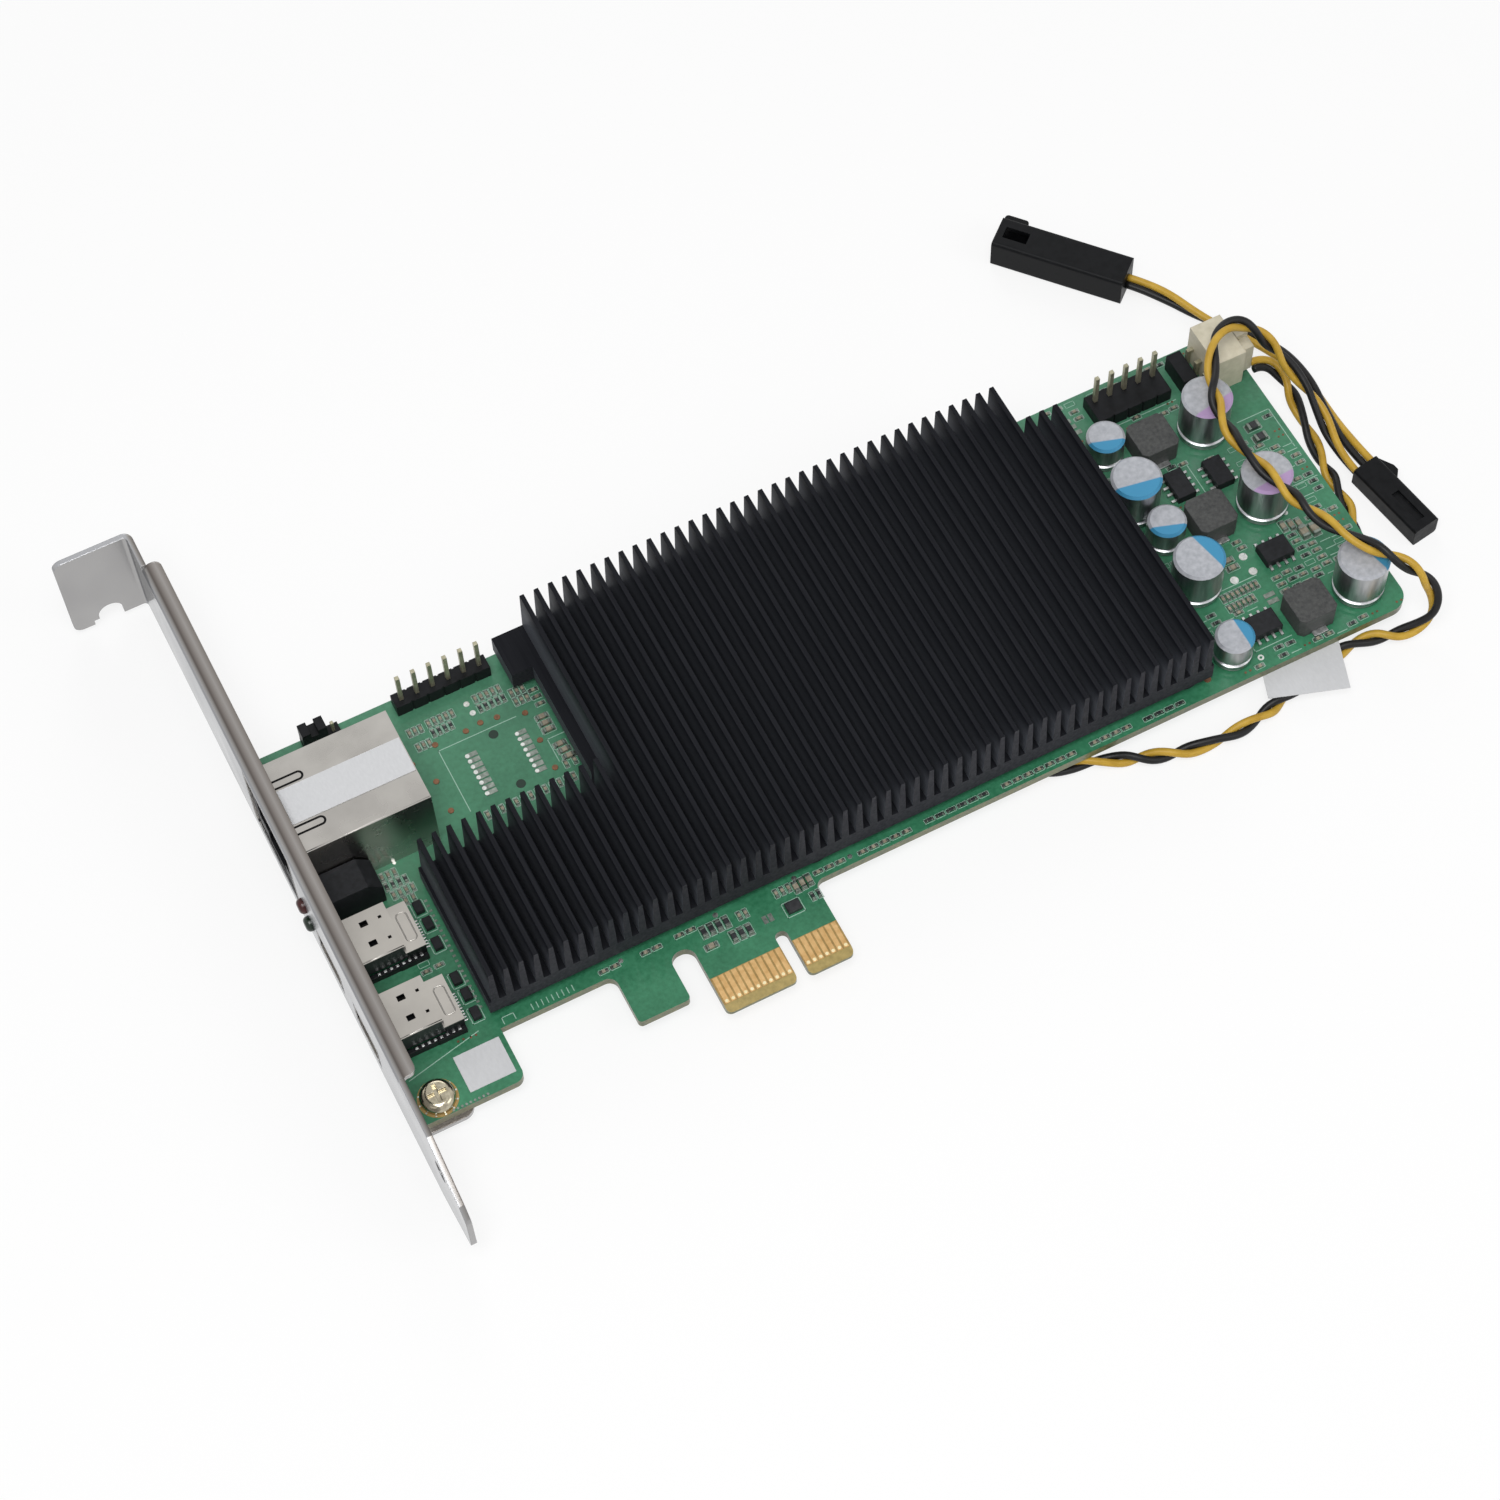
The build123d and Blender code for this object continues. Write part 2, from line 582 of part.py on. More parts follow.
def jack_insert():
    gap = JACK_SHEET + SHANK_GAP
    body = block(FACE_X + JACK_SHEET, JACK_END_X - gap, JACK_LOW_Y + gap, JACK_TOP_Y - gap, 0, JACK_H - gap)
    end = FACE_X + JACK_CAVITY_DEPTH
    low = JACK_MIDDLE_Y - JACK_CAVITY_W / 2
    body -= block(FACE_X, end, low, low + JACK_CAVITY_W, JACK_CAVITY_Z, JACK_CAVITY_Z + JACK_CAVITY_H)
    low = JACK_MIDDLE_Y - JACK_LATCH_W / 2
    body -= block(FACE_X, end, low, low + JACK_LATCH_W, JACK_CAVITY_Z - JACK_LATCH_H, JACK_CAVITY_Z)
    return body


def jack_contacts():
    """Sprung wires that slope down from the roof of the socket to its back."""
    end = FACE_X + JACK_CAVITY_DEPTH
    roof = JACK_CAVITY_Z + JACK_CAVITY_H
    low = roof - JACK_CONTACT_DROP
    side = outline([
        (end - JACK_CONTACT_REACH, roof), (end - JACK_CONTACT_REACH + JACK_CONTACT_T, roof), (end, low),
        (end, low - JACK_CONTACT_T), (end - JACK_CONTACT_T, low - JACK_CONTACT_T),
    ])
    first = JACK_MIDDLE_Y - JACK_CONTACT_PITCH * (JACK_CONTACTS - 1) / 2 - JACK_CONTACT_W / 2
    starts = [first + JACK_CONTACT_PITCH * n for n in range(JACK_CONTACTS)]
    return [prism_y(side, y, y + JACK_CONTACT_W) for y in starts]


def display_shell(y):
    low, high = y - DISPLAY_W / 2, y + DISPLAY_W / 2
    top = DISPLAY_Z + DISPLAY_H
    section = rect(low, high, DISPLAY_Z, top)
    for side in (low, high):
        section = chamfer(corner(section, side, DISPLAY_Z), DISPLAY_CHAMFER)
    shell = prism_x(section, FACE_X, DISPLAY_MAIN_X)
    shell -= prism_x(offset(section, -DISPLAY_SHEET), FACE_X, DISPLAY_MAIN_X)
    rear_y = y + DISPLAY_REAR_SHIFT
    rear_top = top - DISPLAY_REAR_DROP
    shell += block(DISPLAY_MAIN_X - DISPLAY_SHEET, DISPLAY_REAR_X, rear_y - DISPLAY_REAR_W / 2,
                   rear_y + DISPLAY_REAR_W / 2, rear_top - DISPLAY_SHEET, rear_top)
    shell += block(DISPLAY_MAIN_X - DISPLAY_SHEET, DISPLAY_MAIN_X, low + DISPLAY_SHEET, high - DISPLAY_SHEET,
                   rear_top - DISPLAY_SHEET, top)
    for side in (low, high - DISPLAY_SHEET):
        shell += block(BRACKET_BACK_X + DISPLAY_FOOT[0], BRACKET_BACK_X + DISPLAY_FOOT[1], side,
                       side + DISPLAY_SHEET, 0, DISPLAY_Z + DISPLAY_H / 2)
    for size, places in ((DISPLAY_WINDOW, DISPLAY_WINDOWS), (DISPLAY_PIP, DISPLAY_PIPS)):
        for along, side in places:
            shell -= block_at(BRACKET_BACK_X + along, y + side, *size, top - DISPLAY_SHEET, top)
    return shell


def display_insulator(y):
    inner = DISPLAY_SHEET + SHANK_GAP
    rear_y = y + DISPLAY_REAR_SHIFT
    rear_top = DISPLAY_Z + DISPLAY_H - DISPLAY_REAR_DROP - DISPLAY_SHEET
    body = block(DISPLAY_MAIN_X, DISPLAY_REAR_X, rear_y - DISPLAY_REAR_W / 2 + inner,
                 rear_y + DISPLAY_REAR_W / 2 - inner, 0, rear_top)
    rail = y - DISPLAY_W / 2 - SHANK_GAP
    body += block(DISPLAY_REAR_X - DISPLAY_RAIL_L, DISPLAY_REAR_X, rail - DISPLAY_RAIL_W, rail,
                  0, DISPLAY_RAIL_H)
    tongue_low = DISPLAY_Z + (DISPLAY_H - DISPLAY_TONGUE_T) / 2
    body += block(FACE_X + DISPLAY_TONGUE_TIP, DISPLAY_MAIN_X, y - DISPLAY_TONGUE_W / 2,
                  y + DISPLAY_TONGUE_W / 2, tongue_low, tongue_low + DISPLAY_TONGUE_T)
    return body


def light_lens(y, z):
    x = FACE_X - LENS_PROUD
    lens = prism_x(Pos(y, z) * Circle(LENS_R), x, HOLDER[0])
    return fillet(lens.faces().sort_by(Axis.X)[0].edges(), LENS_EDGE_R)


def light_holder():
    _, x1, y0, y1 = HOLDER
    body = block(*HOLDER, 0, HOLDER_H)
    cut = outline([(x1, HOLDER_H), (x1 - HOLDER_CHAMFER, HOLDER_H), (x1, HOLDER_H - HOLDER_CHAMFER)])
    return body - prism_y(cut, y0, y1)


def pin_row(count, pitch, x, y, width, bottom, top):
    """Square pins along x, centred on a place."""
    first = x - pitch * (count - 1) / 2
    return [block_at(first + pitch * n, y, width, width, bottom, top) for n in range(count)]


def cut_header(count, pitch, x, y, width, height):
    """A plastic strip with a notch between each two pins."""
    body = block_at(x, y, count * pitch, width, 0, height)
    first = x - pitch * count / 2
    for n in range(1, count):
        for side in (y - width / 2, y + width / 2):
            body -= block_at(first + pitch * n, side, HEADER_NICK, HEADER_NICK, 0, height)
    return body


def jumper_cap():
    x, y = JUMPER_AT
    x -= JUMPER_PITCH / 2
    top = JUMPER_BASE_H + JUMPER_CAP_H
    slot_w, slot_depth = JUMPER_CAP_SLOT
    cap = block_at(x, y, 2 * JUMPER_PITCH - JUMPER_CAP_GAP, JUMPER_W, JUMPER_BASE_H, top)
    cap -= block_at(x, y, slot_w, JUMPER_W, top - slot_depth, top)
    for side in (-1, 1):
        pin_x = x + side * JUMPER_PITCH / 2
        wide = JUMPER_PIN_W + 2 * JUMPER_CAP_GAP
        cap -= block_at(pin_x, y, wide, wide, JUMPER_BASE_H, JUMPER_PIN_TOP + JUMPER_CAP_GAP)
    return cap


def cable_header():
    _, x1, y0, y1 = CABLE_HEADER
    body = block(*CABLE_HEADER, 0, CABLE_HEADER_H)
    return body - block(PLUG_BACK_X, x1, y0 + CABLE_WALL, y1 - CABLE_WALL,
                        CABLE_WALL, CABLE_HEADER_H - CABLE_WALL)


def cable_plug():
    _, x1, y0, y1 = CABLE_HEADER
    inner = CABLE_WALL + PLUG_GAP
    plug = block(PLUG_BACK_X + PLUG_GAP, PLUG_END_X, y0 + inner, y1 - inner, inner, CABLE_HEADER_H - inner)
    rib_y = (y0 + y1) / 2
    return plug + block(x1 + PLUG_GAP, PLUG_END_X, rib_y - CABLE_WALL, rib_y + CABLE_WALL,
                        CABLE_HEADER_H - inner, CABLE_HEADER_H)


def cable_header_pins():
    """Pins that come out of the back of the header and turn down to the board."""
    x0, _, y0, y1 = CABLE_HEADER
    half = PIN_W / 2
    pins = []
    for n in range(CABLE_PINS):
        y = (y0 + y1) / 2 + (n - (CABLE_PINS - 1) / 2) * PIN_PITCH
        pin = block(x0 - CABLE_PIN_REACH, x0, y - half, y + half, CABLE_PIN_Z - half, CABLE_PIN_Z + half)
        pins.append(pin + block(x0 - CABLE_PIN_REACH, x0 - CABLE_PIN_REACH + PIN_W, y - half, y + half,
                                0, CABLE_PIN_Z + half))
    return pins


def capacitor_can(place, radius, height):
    """A pressed can with the groove that grips its seal."""
    inner = radius - GROOVE_DEPTH
    low = CAP_BASE_H
    slope = GROOVE_DEPTH / 2
    side = Polyline(
        (0, low), (radius, low), (radius, GROOVE_Z), (inner, GROOVE_Z + slope),
        (inner, GROOVE_Z + GROOVE_H - slope), (radius, GROOVE_Z + GROOVE_H),
        (radius, height - CAP_EDGE), (radius - CAP_EDGE, height), (0, height), close=True,
    )
    return Pos(*place) * revolve(Plane.XZ * make_face(side), Axis.Z)


def capacitor_bases():
    return [rod(*place, radius - CAP_BASE_GAP, 0, CAP_BASE_H) for place, radius, _ in CAPACITORS.values()]


def inductor(place):
    body = block_at(*place, INDUCTOR_W, INDUCTOR_W, 0, INDUCTOR_H)
    return chamfer(body.edges().filter_by(Axis.Z), INDUCTOR_EDGE)


def inductor_terminals():
    terminals = []
    for x, y in INDUCTOR_AT.values():
        for side in (-1, 1):
            reach = INDUCTOR_W / 2 + TERMINAL_L / 2
            terminals.append(block_at(x, y + side * reach, TERMINAL_W, TERMINAL_L, 0, TERMINAL_T))
    return terminals


def power_chips():
    return [block_at(x, y, length, width, 0, POWER_CHIP_H) for x, y, length, width in POWER_CHIPS]


def power_chip_leads():
    leads = []
    for x, y, length, width in POWER_CHIPS:
        for n in range(LEADS_A_SIDE):
            step = (n - (LEADS_A_SIDE - 1) / 2) * LEAD_PITCH
            for side in (-1, 1):
                if length > width:
                    lead_y = y + side * (width + LEAD_L) / 2
                    leads.append(block_at(x + step, lead_y, LEAD_W, LEAD_L, 0, LEAD_T))
                else:
                    lead_x = x + side * (length + LEAD_L) / 2
                    leads.append(block_at(lead_x, y + step, LEAD_L, LEAD_W, 0, LEAD_T))
    return leads


def joint_places():
    """Where a pin or lug comes through the board and is soldered."""
    x, y = SIX_AT
    places = [(x + PIN_PITCH * (n - (SIX_PINS - 1) / 2), y) for n in range(SIX_PINS)]
    x, y = TEN_AT
    first = x - PIN_PITCH * (TEN_COLUMNS - 1) / 2
    for row_y in (y - PIN_PITCH / 2, y + PIN_PITCH / 2):
        places += [(first + PIN_PITCH * n, row_y) for n in range(TEN_COLUMNS)]
    x0, _, y0, y1 = CABLE_HEADER
    first = (y0 + y1 - PIN_PITCH * (CABLE_PINS - 1)) / 2
    places += [(x0 - CABLE_PIN_REACH + PIN_W, first + PIN_PITCH * n) for n in range(CABLE_PINS)]
    for (x, y), radius, height in CAPACITORS.values():
        if height > SMALL_H:
            places += [(x, y + side * radius / 2) for side in (-1, 1)]
    x = (BRACKET_BACK_X + JACK_END_X) / 2
    return places + [(x + step, y) for step in (0, PIN_PITCH)
                     for y in (JACK_LOW_Y + JOINT_INSET, JACK_TOP_Y - JOINT_INSET)]


def solder_joints():
    joints = []
    for x, y in joint_places():
        cone = Cone(JOINT_TIP_R, JOINT_R, JOINT_H, align=(Align.CENTER, Align.CENTER, Align.MAX))
        joints.append(Pos(x, y, -BOARD_T) * cone)
    return joints


def inline_place(rear, heading):
    """Where an inline connector lies: its length runs on from its rear face."""
    return Pos(*rear, FLOOR_Z + REST_GAP) * Rot(0, 0, heading)


def connector_a():
    """The inline socket: a hollow front with a window, and a latch loop on its far side."""
    length, width, height = A_SIZE
    bore_l, bore_w, bore_h = A_BORE
    latch_l, latch_w, latch_h = A_LATCH
    window_l, window_w, window_start = A_WINDOW
    middle = height / 2
    body = block(0, length, -width / 2, width / 2, 0, height)
    body = fillet(body.edges().filter_by(Axis.X), CONNECTOR_EDGE)
    loop = block(length - latch_l, length, -width / 2 - latch_h, 0,
                 middle - latch_w / 2, middle + latch_w / 2)
    body += fillet(loop.edges().filter_by(Axis.Z).group_by(Axis.Y)[0], CONNECTOR_EDGE)
    body -= block(length - latch_l, length, A_LATCH_SHEET - width / 2 - latch_h, -width / 2,
                  middle - latch_w / 2 + A_LATCH_SHEET, middle + latch_w / 2 - A_LATCH_SHEET)
    body -= block(length - bore_l, length, -bore_w / 2, bore_w / 2, middle - bore_h / 2, middle + bore_h / 2)
    body -= block(length - window_start - window_l, length - window_start, -window_w / 2, window_w / 2,
                  middle, height)
    return inline_place(A_REAR, A_HEADING) * body


def connector_b():
    """The inline plug: a plain body with a groove on top and a ramped latch on its far side."""
    length, width, height = B_SIZE
    groove_l, groove_w, groove_depth = B_GROOVE
    latch_l, latch_w, latch_h = B_LATCH
    body = block(0, length, -width / 2, width / 2, 0, height)
    body = fillet(body.edges().filter_by(Axis.X), CONNECTOR_EDGE)
    body -= block(length - B_GROOVE_END - groove_l, length - B_GROOVE_END, -groove_w / 2, groove_w / 2,
                  height - groove_depth, height)
    side = width / 2
    ramp = outline([
        (0, 0), (0, side), (latch_l - latch_h - B_LATCH_FLAT, side + latch_h),
        (latch_l - latch_h, side + latch_h), (latch_l, side), (latch_l, 0),
    ])
    body += Pos(0, 0, (height - latch_w) / 2) * extrude(ramp, latch_w)
    return inline_place(B_REAR, B_HEADING) * body


def rear_port(rear, heading, size, side, back):
    """A place behind a connector's rear face, moved sideways from its middle."""
    turn = radians(heading)
    x = rear[0] - side * sin(turn) - back * cos(turn)
    y = rear[1] + side * cos(turn) - back * sin(turn)
    return (x, y, FLOOR_Z + REST_GAP + size[2] / 2)


def tube(route):
    """A round lead along straight runs joined by the largest arcs that fit."""
    points = [Vector(*p) for p in route]
    radii = []
    for before, here, after in zip(points, points[1:], points[2:]):
        turn = (here - before).get_angle(after - here)
        shorter = min((here - before).length, (after - here).length)
        radii.append(BEND_SHARE * shorter / tan(radians(turn) / 2))
    path = FilletPolyline(*points, radius=radii)
    start = Plane(origin=points[0], z_dir=points[1] - points[0])
    solid = sweep(start * Circle(PAIR_D / 2), path=path)
    section = Circle(PAIR_D / 2).area
    print("lead", round(path.length, 1), "mm, volume share", round(solid.volume / section / path.length, 4))
    print("  radii", [round(r, 1) for r in radii])
    return solid


def long_lead():
    first = [(PLUG_END_X, *LEAD_PORT), (PLUG_END_X + PLUG_STUB, *LEAD_PORT)]
    last = [rear_port(B_REAR, B_HEADING, B_SIZE, -PAIR_OFFSET, back) for back in (CONNECTOR_STUB, 0)]
    return tube(first + LONG_ROUTE + last)


def link_lead():
    first = [rear_port(B_REAR, B_HEADING, B_SIZE, PAIR_OFFSET, back) for back in (0, CONNECTOR_STUB)]
    last = [rear_port(A_REAR, A_HEADING, A_SIZE, 0, back) for back in (CONNECTOR_STUB, 0)]
    return tube(first + LINK_ROUTE + last)


def flag_label():
    """A paper flag that lies over the lead where it runs low beside the board."""
    top_of_lead = min(point[2] for point in LONG_ROUTE) + PAIR_D / 2
    return Pos(*FLAG_AT, top_of_lead) * Rot(0, 0, FLAG_TURN) * extrude(Rectangle(*FLAG), FLAG_T)


def write(name, solids):
    """Move a piece, or a group of like pieces, to the origin and save it."""
    pieces = solids if isinstance(solids, list) else [solids]
    shape = TO_ORIGIN * Compound([Compound(piece.solids()) for piece in pieces])
    flat = shape.solids()
    export_step(flat[0] if len(flat) == 1 else Compound(flat), f"parts/{name}.step")


def main():
    os.makedirs("parts", exist_ok=True)
    write("circuit_board", circuit_board())
    write("gold_fingers", gold_fingers())
    write("io_bracket", io_bracket())
    write("bracket_screw", bracket_screw())
    write("heat_sink", heat_sink())
    write("heat_sink_screws", heat_sink_screws())
    write("heat_sink_washers", heat_sink_washers())
    write("processor", block_at(*PROCESSOR_AT, *PROCESSOR, 0, CHIP_H))
    write("memory_chips", [block_at(*place, *MEMORY, 0, CHIP_H) for place in MEMORY_AT])
    write("thermal_pads", thermal_pads())
    write("jack_shell", jack_shell())
    write("jack_insert", jack_insert())
    write("jack_contacts", jack_contacts())
    write("jack_label", block(*BAND, JACK_H, JACK_H + LABEL_T))
    for n, y in enumerate(DISPLAY_YS, 1):
        write(f"display_shell_{n}", display_shell(y))
        write(f"display_insulator_{n}", display_insulator(y))
    write("light_holder", light_holder())
    write("light_clip", block(*CLIP, 0, CLIP_H))
    for name, place in LENS_AT.items():
        write(name, light_lens(*place))
    write("six_header_base", cut_header(SIX_PINS, PIN_PITCH, *SIX_AT, HEADER_W, HEADER_H))
    write("six_header_pins", pin_row(SIX_PINS, PIN_PITCH, *SIX_AT, PIN_W, HEADER_H, PIN_TOP))
    write("jumper_base", cut_header(JUMPER_PINS, JUMPER_PITCH, *JUMPER_AT, JUMPER_W, JUMPER_BASE_H))
    write("jumper_pins", pin_row(JUMPER_PINS, JUMPER_PITCH, *JUMPER_AT, JUMPER_PIN_W,
                                 JUMPER_BASE_H, JUMPER_PIN_TOP))
    write("jumper_cap", jumper_cap())
    x, y = TEN_AT
    write("ten_header_base", cut_header(TEN_COLUMNS, PIN_PITCH, x, y, 2 * PIN_PITCH, HEADER_H))
    write("ten_header_pins", pin_row(TEN_COLUMNS, PIN_PITCH, x, y + PIN_PITCH / 2, PIN_W, HEADER_H, PIN_TOP))
    write("key_block", block(*KEY_BLOCK, 0, KEY_BLOCK_H))
    write("cable_header", cable_header())
    write("cable_header_pins", cable_header_pins())
    write("cable_plug", cable_plug())
    for name, (place, radius, height) in CAPACITORS.items():
        write(name, capacitor_can(place, radius, height))
    write("capacitor_bases", capacitor_bases())
    for name, place in INDUCTOR_AT.items():
        write(name, inductor(place))
    write("inductor_terminals", inductor_terminals())
    write("power_chips", power_chips())
    write("power_chip_leads", power_chip_leads())
    length, width, height = FILTER
    write("line_filters", [block_at(*place, length, width, 0, height) for place in FILTERS_AT])
    write("solder_joints", solder_joints())
    write("board_sticker", block(*STICKER, 0, LABEL_T))
    write("connector_a", connector_a())
    write("connector_b", connector_b())
    write("flag_label", flag_label())
    write("lead_long", long_lead())
    write("lead_link", link_lead())


main()
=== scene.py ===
from math import cos, pi, radians, sin
from random import Random

import bmesh
import bpy
from mathutils import Matrix, Vector


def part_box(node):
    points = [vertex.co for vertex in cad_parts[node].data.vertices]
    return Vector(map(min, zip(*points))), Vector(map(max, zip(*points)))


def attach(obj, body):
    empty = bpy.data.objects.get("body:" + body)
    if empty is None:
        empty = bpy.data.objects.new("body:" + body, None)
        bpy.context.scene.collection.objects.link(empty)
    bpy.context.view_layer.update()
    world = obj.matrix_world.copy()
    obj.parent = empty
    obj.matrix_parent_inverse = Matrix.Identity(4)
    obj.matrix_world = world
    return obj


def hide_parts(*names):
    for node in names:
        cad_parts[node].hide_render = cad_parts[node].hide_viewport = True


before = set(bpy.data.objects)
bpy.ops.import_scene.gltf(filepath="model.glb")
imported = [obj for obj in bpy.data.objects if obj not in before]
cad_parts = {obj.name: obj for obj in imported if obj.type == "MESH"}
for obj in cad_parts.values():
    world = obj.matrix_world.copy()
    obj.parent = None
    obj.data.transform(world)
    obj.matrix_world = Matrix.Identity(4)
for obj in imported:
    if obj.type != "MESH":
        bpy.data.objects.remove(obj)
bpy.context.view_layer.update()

MM = 0.001

# The card's own coordinates: x from the key notch, y from the finger edge, z from the
# side that carries the parts. The board's far end is this far from the notch.
BOARD_RIGHT = 109.04
BOARD_LOW_CORNER, BOARD_HIGH_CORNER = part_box("circuit_board")
CARD = Vector((BOARD_HIGH_CORNER[0] - BOARD_RIGHT * MM, BOARD_LOW_CORNER[1], BOARD_HIGH_CORNER[2]))
FLOOR_Z = -CARD.z / MM


def card(x, y, z=0.0):
    """A place on the card, in millimetres, as a point of the scene."""
    return CARD + Vector((x, y, z)) * MM


def srgb(red, green, blue):
    """A colour given in 0 to 255 as a linear colour."""
    channels = []
    for value in (red, green, blue):
        share = value / 255
        channels.append(share / 12.92 if share <= 0.04045 else ((share + 0.055) / 1.055) ** 2.4)
    return (*channels, 1.0)


# Camera, as the photograph was taken: angles in degrees, shift and distance in millimetres
VIEW_TURN = -24.221
VIEW_HEIGHT = 61.096
VIEW_ROLL = -3.117
VIEW_SHIFT = (7.776, -32.239)
VIEW_DISTANCE = 502.055
FOCAL_PIXELS = 3531.064
PICTURE_PIXELS = 1500
SENSOR_MM = 36.0
CLIP_START = 0.01    # metres


def add_camera():
    """The camera, which looks at the notch from the angle above, shifted sideways and upwards."""
    turn, height, roll = radians(VIEW_TURN), radians(VIEW_HEIGHT), radians(VIEW_ROLL)
    back = Vector((sin(turn) * cos(height), -cos(turn) * cos(height), sin(height)))
    right0 = Vector((cos(turn), sin(turn), 0))
    up0 = back.cross(right0)
    right = right0 * cos(roll) + up0 * sin(roll)
    up = up0 * cos(roll) - right0 * sin(roll)
    eye = back * VIEW_DISTANCE - right * VIEW_SHIFT[0] - up * VIEW_SHIFT[1]
    data = bpy.data.cameras.new("camera")
    data.sensor_width = SENSOR_MM
    data.lens = FOCAL_PIXELS / PICTURE_PIXELS * SENSOR_MM
    data.clip_start = CLIP_START
    camera = bpy.data.objects.new("camera", data)
    place = Matrix((right, up, back)).transposed().to_4x4()
    place.translation = card(*eye)
    camera.matrix_world = place
    bpy.context.collection.objects.link(camera)
    bpy.context.scene.camera = camera


# The range that a noise value mostly keeps to
NOISE_LOW, NOISE_HIGH = 0.3, 0.7
# How low a normal's share along an axis is where a surface wholly faces its low end, and not at all
LOW_FACING = (-0.95, -0.7)
BEVEL_SAMPLES = 4


class Shader:
    """A material's node tree, with short calls for the nodes used here."""

    def __init__(self, name, colour, roughness=0.5, metallic=0.0, coat=0.0, specular=0.5):
        self.material = bpy.data.materials.new(name)
        self.material.use_nodes = True
        self.nodes = self.material.node_tree.nodes
        self.links = self.material.node_tree.links
        self.surface = self.nodes["Principled BSDF"]
        self.surface.inputs["Base Color"].default_value = colour
        self.surface.inputs["Roughness"].default_value = roughness
        self.surface.inputs["Metallic"].default_value = metallic
        self.surface.inputs["Coat Weight"].default_value = coat
        self.surface.inputs["Specular IOR Level"].default_value = specular

    def link(self, out, into):
        """Join an output to an input."""
        self.links.new(out, into)

    def place(self, scale=(1, 1, 1)):
        """Object coordinates in millimetres, scaled."""
        spot = self.nodes.new("ShaderNodeTexCoord")
        mapping = self.nodes.new("ShaderNodeMapping")
        mapping.vector_type = "POINT"
        mapping.inputs["Scale"].default_value = [s / MM for s in scale]
        self.link(spot.outputs["Object"], mapping.inputs["Vector"])
        return mapping.outputs["Vector"]

    def noise(self, size, detail, stretch=(1, 1, 1)):
        """Noise with spots of about a size in millimetres."""
        node = self.nodes.new("ShaderNodeTexNoise")
        node.inputs["Scale"].default_value = 1 / size
        node.inputs["Detail"].default_value = detail
        self.link(self.place(stretch), node.inputs["Vector"])
        return node.outputs["Fac"]

    def ramp(self, value, stops):
        """A colour ramp over a value: stops are (place, colour)."""
        node = self.nodes.new("ShaderNodeValToRGB")
        elements = node.color_ramp.elements
        while len(elements) < len(stops):
            elements.new(0.5)
        for element, (spot, colour) in zip(elements, stops):
            element.position = spot
            element.color = colour
        self.link(value, node.inputs["Fac"])
        return node.outputs["Color"]

    def tint(self, value, dark, light):
        """A noise value as a colour between two."""
        return self.ramp(value, [(NOISE_LOW, dark), (NOISE_HIGH, light)])

    def span(self, value, low, high, out_low, out_high):
        """A value carried from one range to another."""
        node = self.nodes.new("ShaderNodeMapRange")
        for name, number in zip(("From Min", "From Max", "To Min", "To Max"), (low, high, out_low, out_high)):
            node.inputs[name].default_value = number
        self.link(value, node.inputs["Value"])
        return node.outputs["Result"]

    def mix(self, share, one, two):
        """Two colours, or colour outputs, mixed."""
        node = self.nodes.new("ShaderNodeMix")
        node.data_type = "RGBA"
        colours = [socket for socket in node.inputs if socket.type == "RGBA"]
        for value, socket in zip((share, one, two), [node.inputs["Factor"], *colours]):
            if isinstance(value, (int, float, tuple, list)):
                socket.default_value = value
            else:
                self.link(value, socket)
        return node.outputs[2]

    def colour(self, out):
        """Take the surface's colour from an output."""
        self.link(out, self.surface.inputs["Base Color"])

    def roughness(self, value, low, high):
        """Take the surface's roughness from a noise value, between two levels."""
        self.link(self.span(value, NOISE_LOW, NOISE_HIGH, low, high), self.surface.inputs["Roughness"])

    def bump(self, value, strength, depth, edge=0.0):
        """Relief from a value: depth is in millimetres. An edge radius softens sharp corners."""
        node = self.nodes.new("ShaderNodeBump")
        node.inputs["Strength"].default_value = strength
        node.inputs["Distance"].default_value = depth * MM
        self.link(value, node.inputs["Height"])
        if edge:
            soft = self.nodes.new("ShaderNodeBevel")
            soft.samples = BEVEL_SAMPLES
            soft.inputs["Radius"].default_value = edge * MM
            self.link(soft.outputs["Normal"], node.inputs["Normal"])
        self.link(node.outputs["Normal"], self.surface.inputs["Normal"])

    def maths(self, operation, *values):
        """What an operation makes of one or two values."""
        node = self.nodes.new("ShaderNodeMath")
        node.operation = operation
        for value, socket in zip(values, node.inputs):
            self.link(value, socket)
        return node.outputs["Value"]

    def part_of(self, vector, axis):
        """One axis of a vector."""
        split = self.nodes.new("ShaderNodeSeparateXYZ")
        self.link(vector, split.inputs["Vector"])
        return split.outputs[axis]

    def between(self, axis, low, high):
        """0 to 1 between two places on a row axis, in millimetres."""
        return self.span(self.part_of(self.place(), axis), low, high, 0.0, 1.0)

    def facing(self, axis):
        """How far the surface faces along a row axis, from -1 to 1."""
        geometry = self.nodes.new("ShaderNodeNewGeometry")
        return self.part_of(geometry.outputs["Normal"], axis)

    def faces_low(self, axis):
        """1 where the surface faces the low end of a row axis, 0 elsewhere."""
        return self.span(self.facing(axis), *LOW_FACING, 1.0, 0.0)

    def faces_up(self, low, high):
        """0 to 1 as the surface turns upwards, over a range of how far it faces up."""
        return self.span(self.facing("Z"), low, high, 0.0, 1.0)


# Solder mask: how much its fine mottle shows, where across the card painted light turns it paler, and by how
# much
MOTTLE_SHARE = 0.4
PAINTED_LIGHT_Y = (20, 62)
PAINTED_LIGHT_SHARE = 0.2


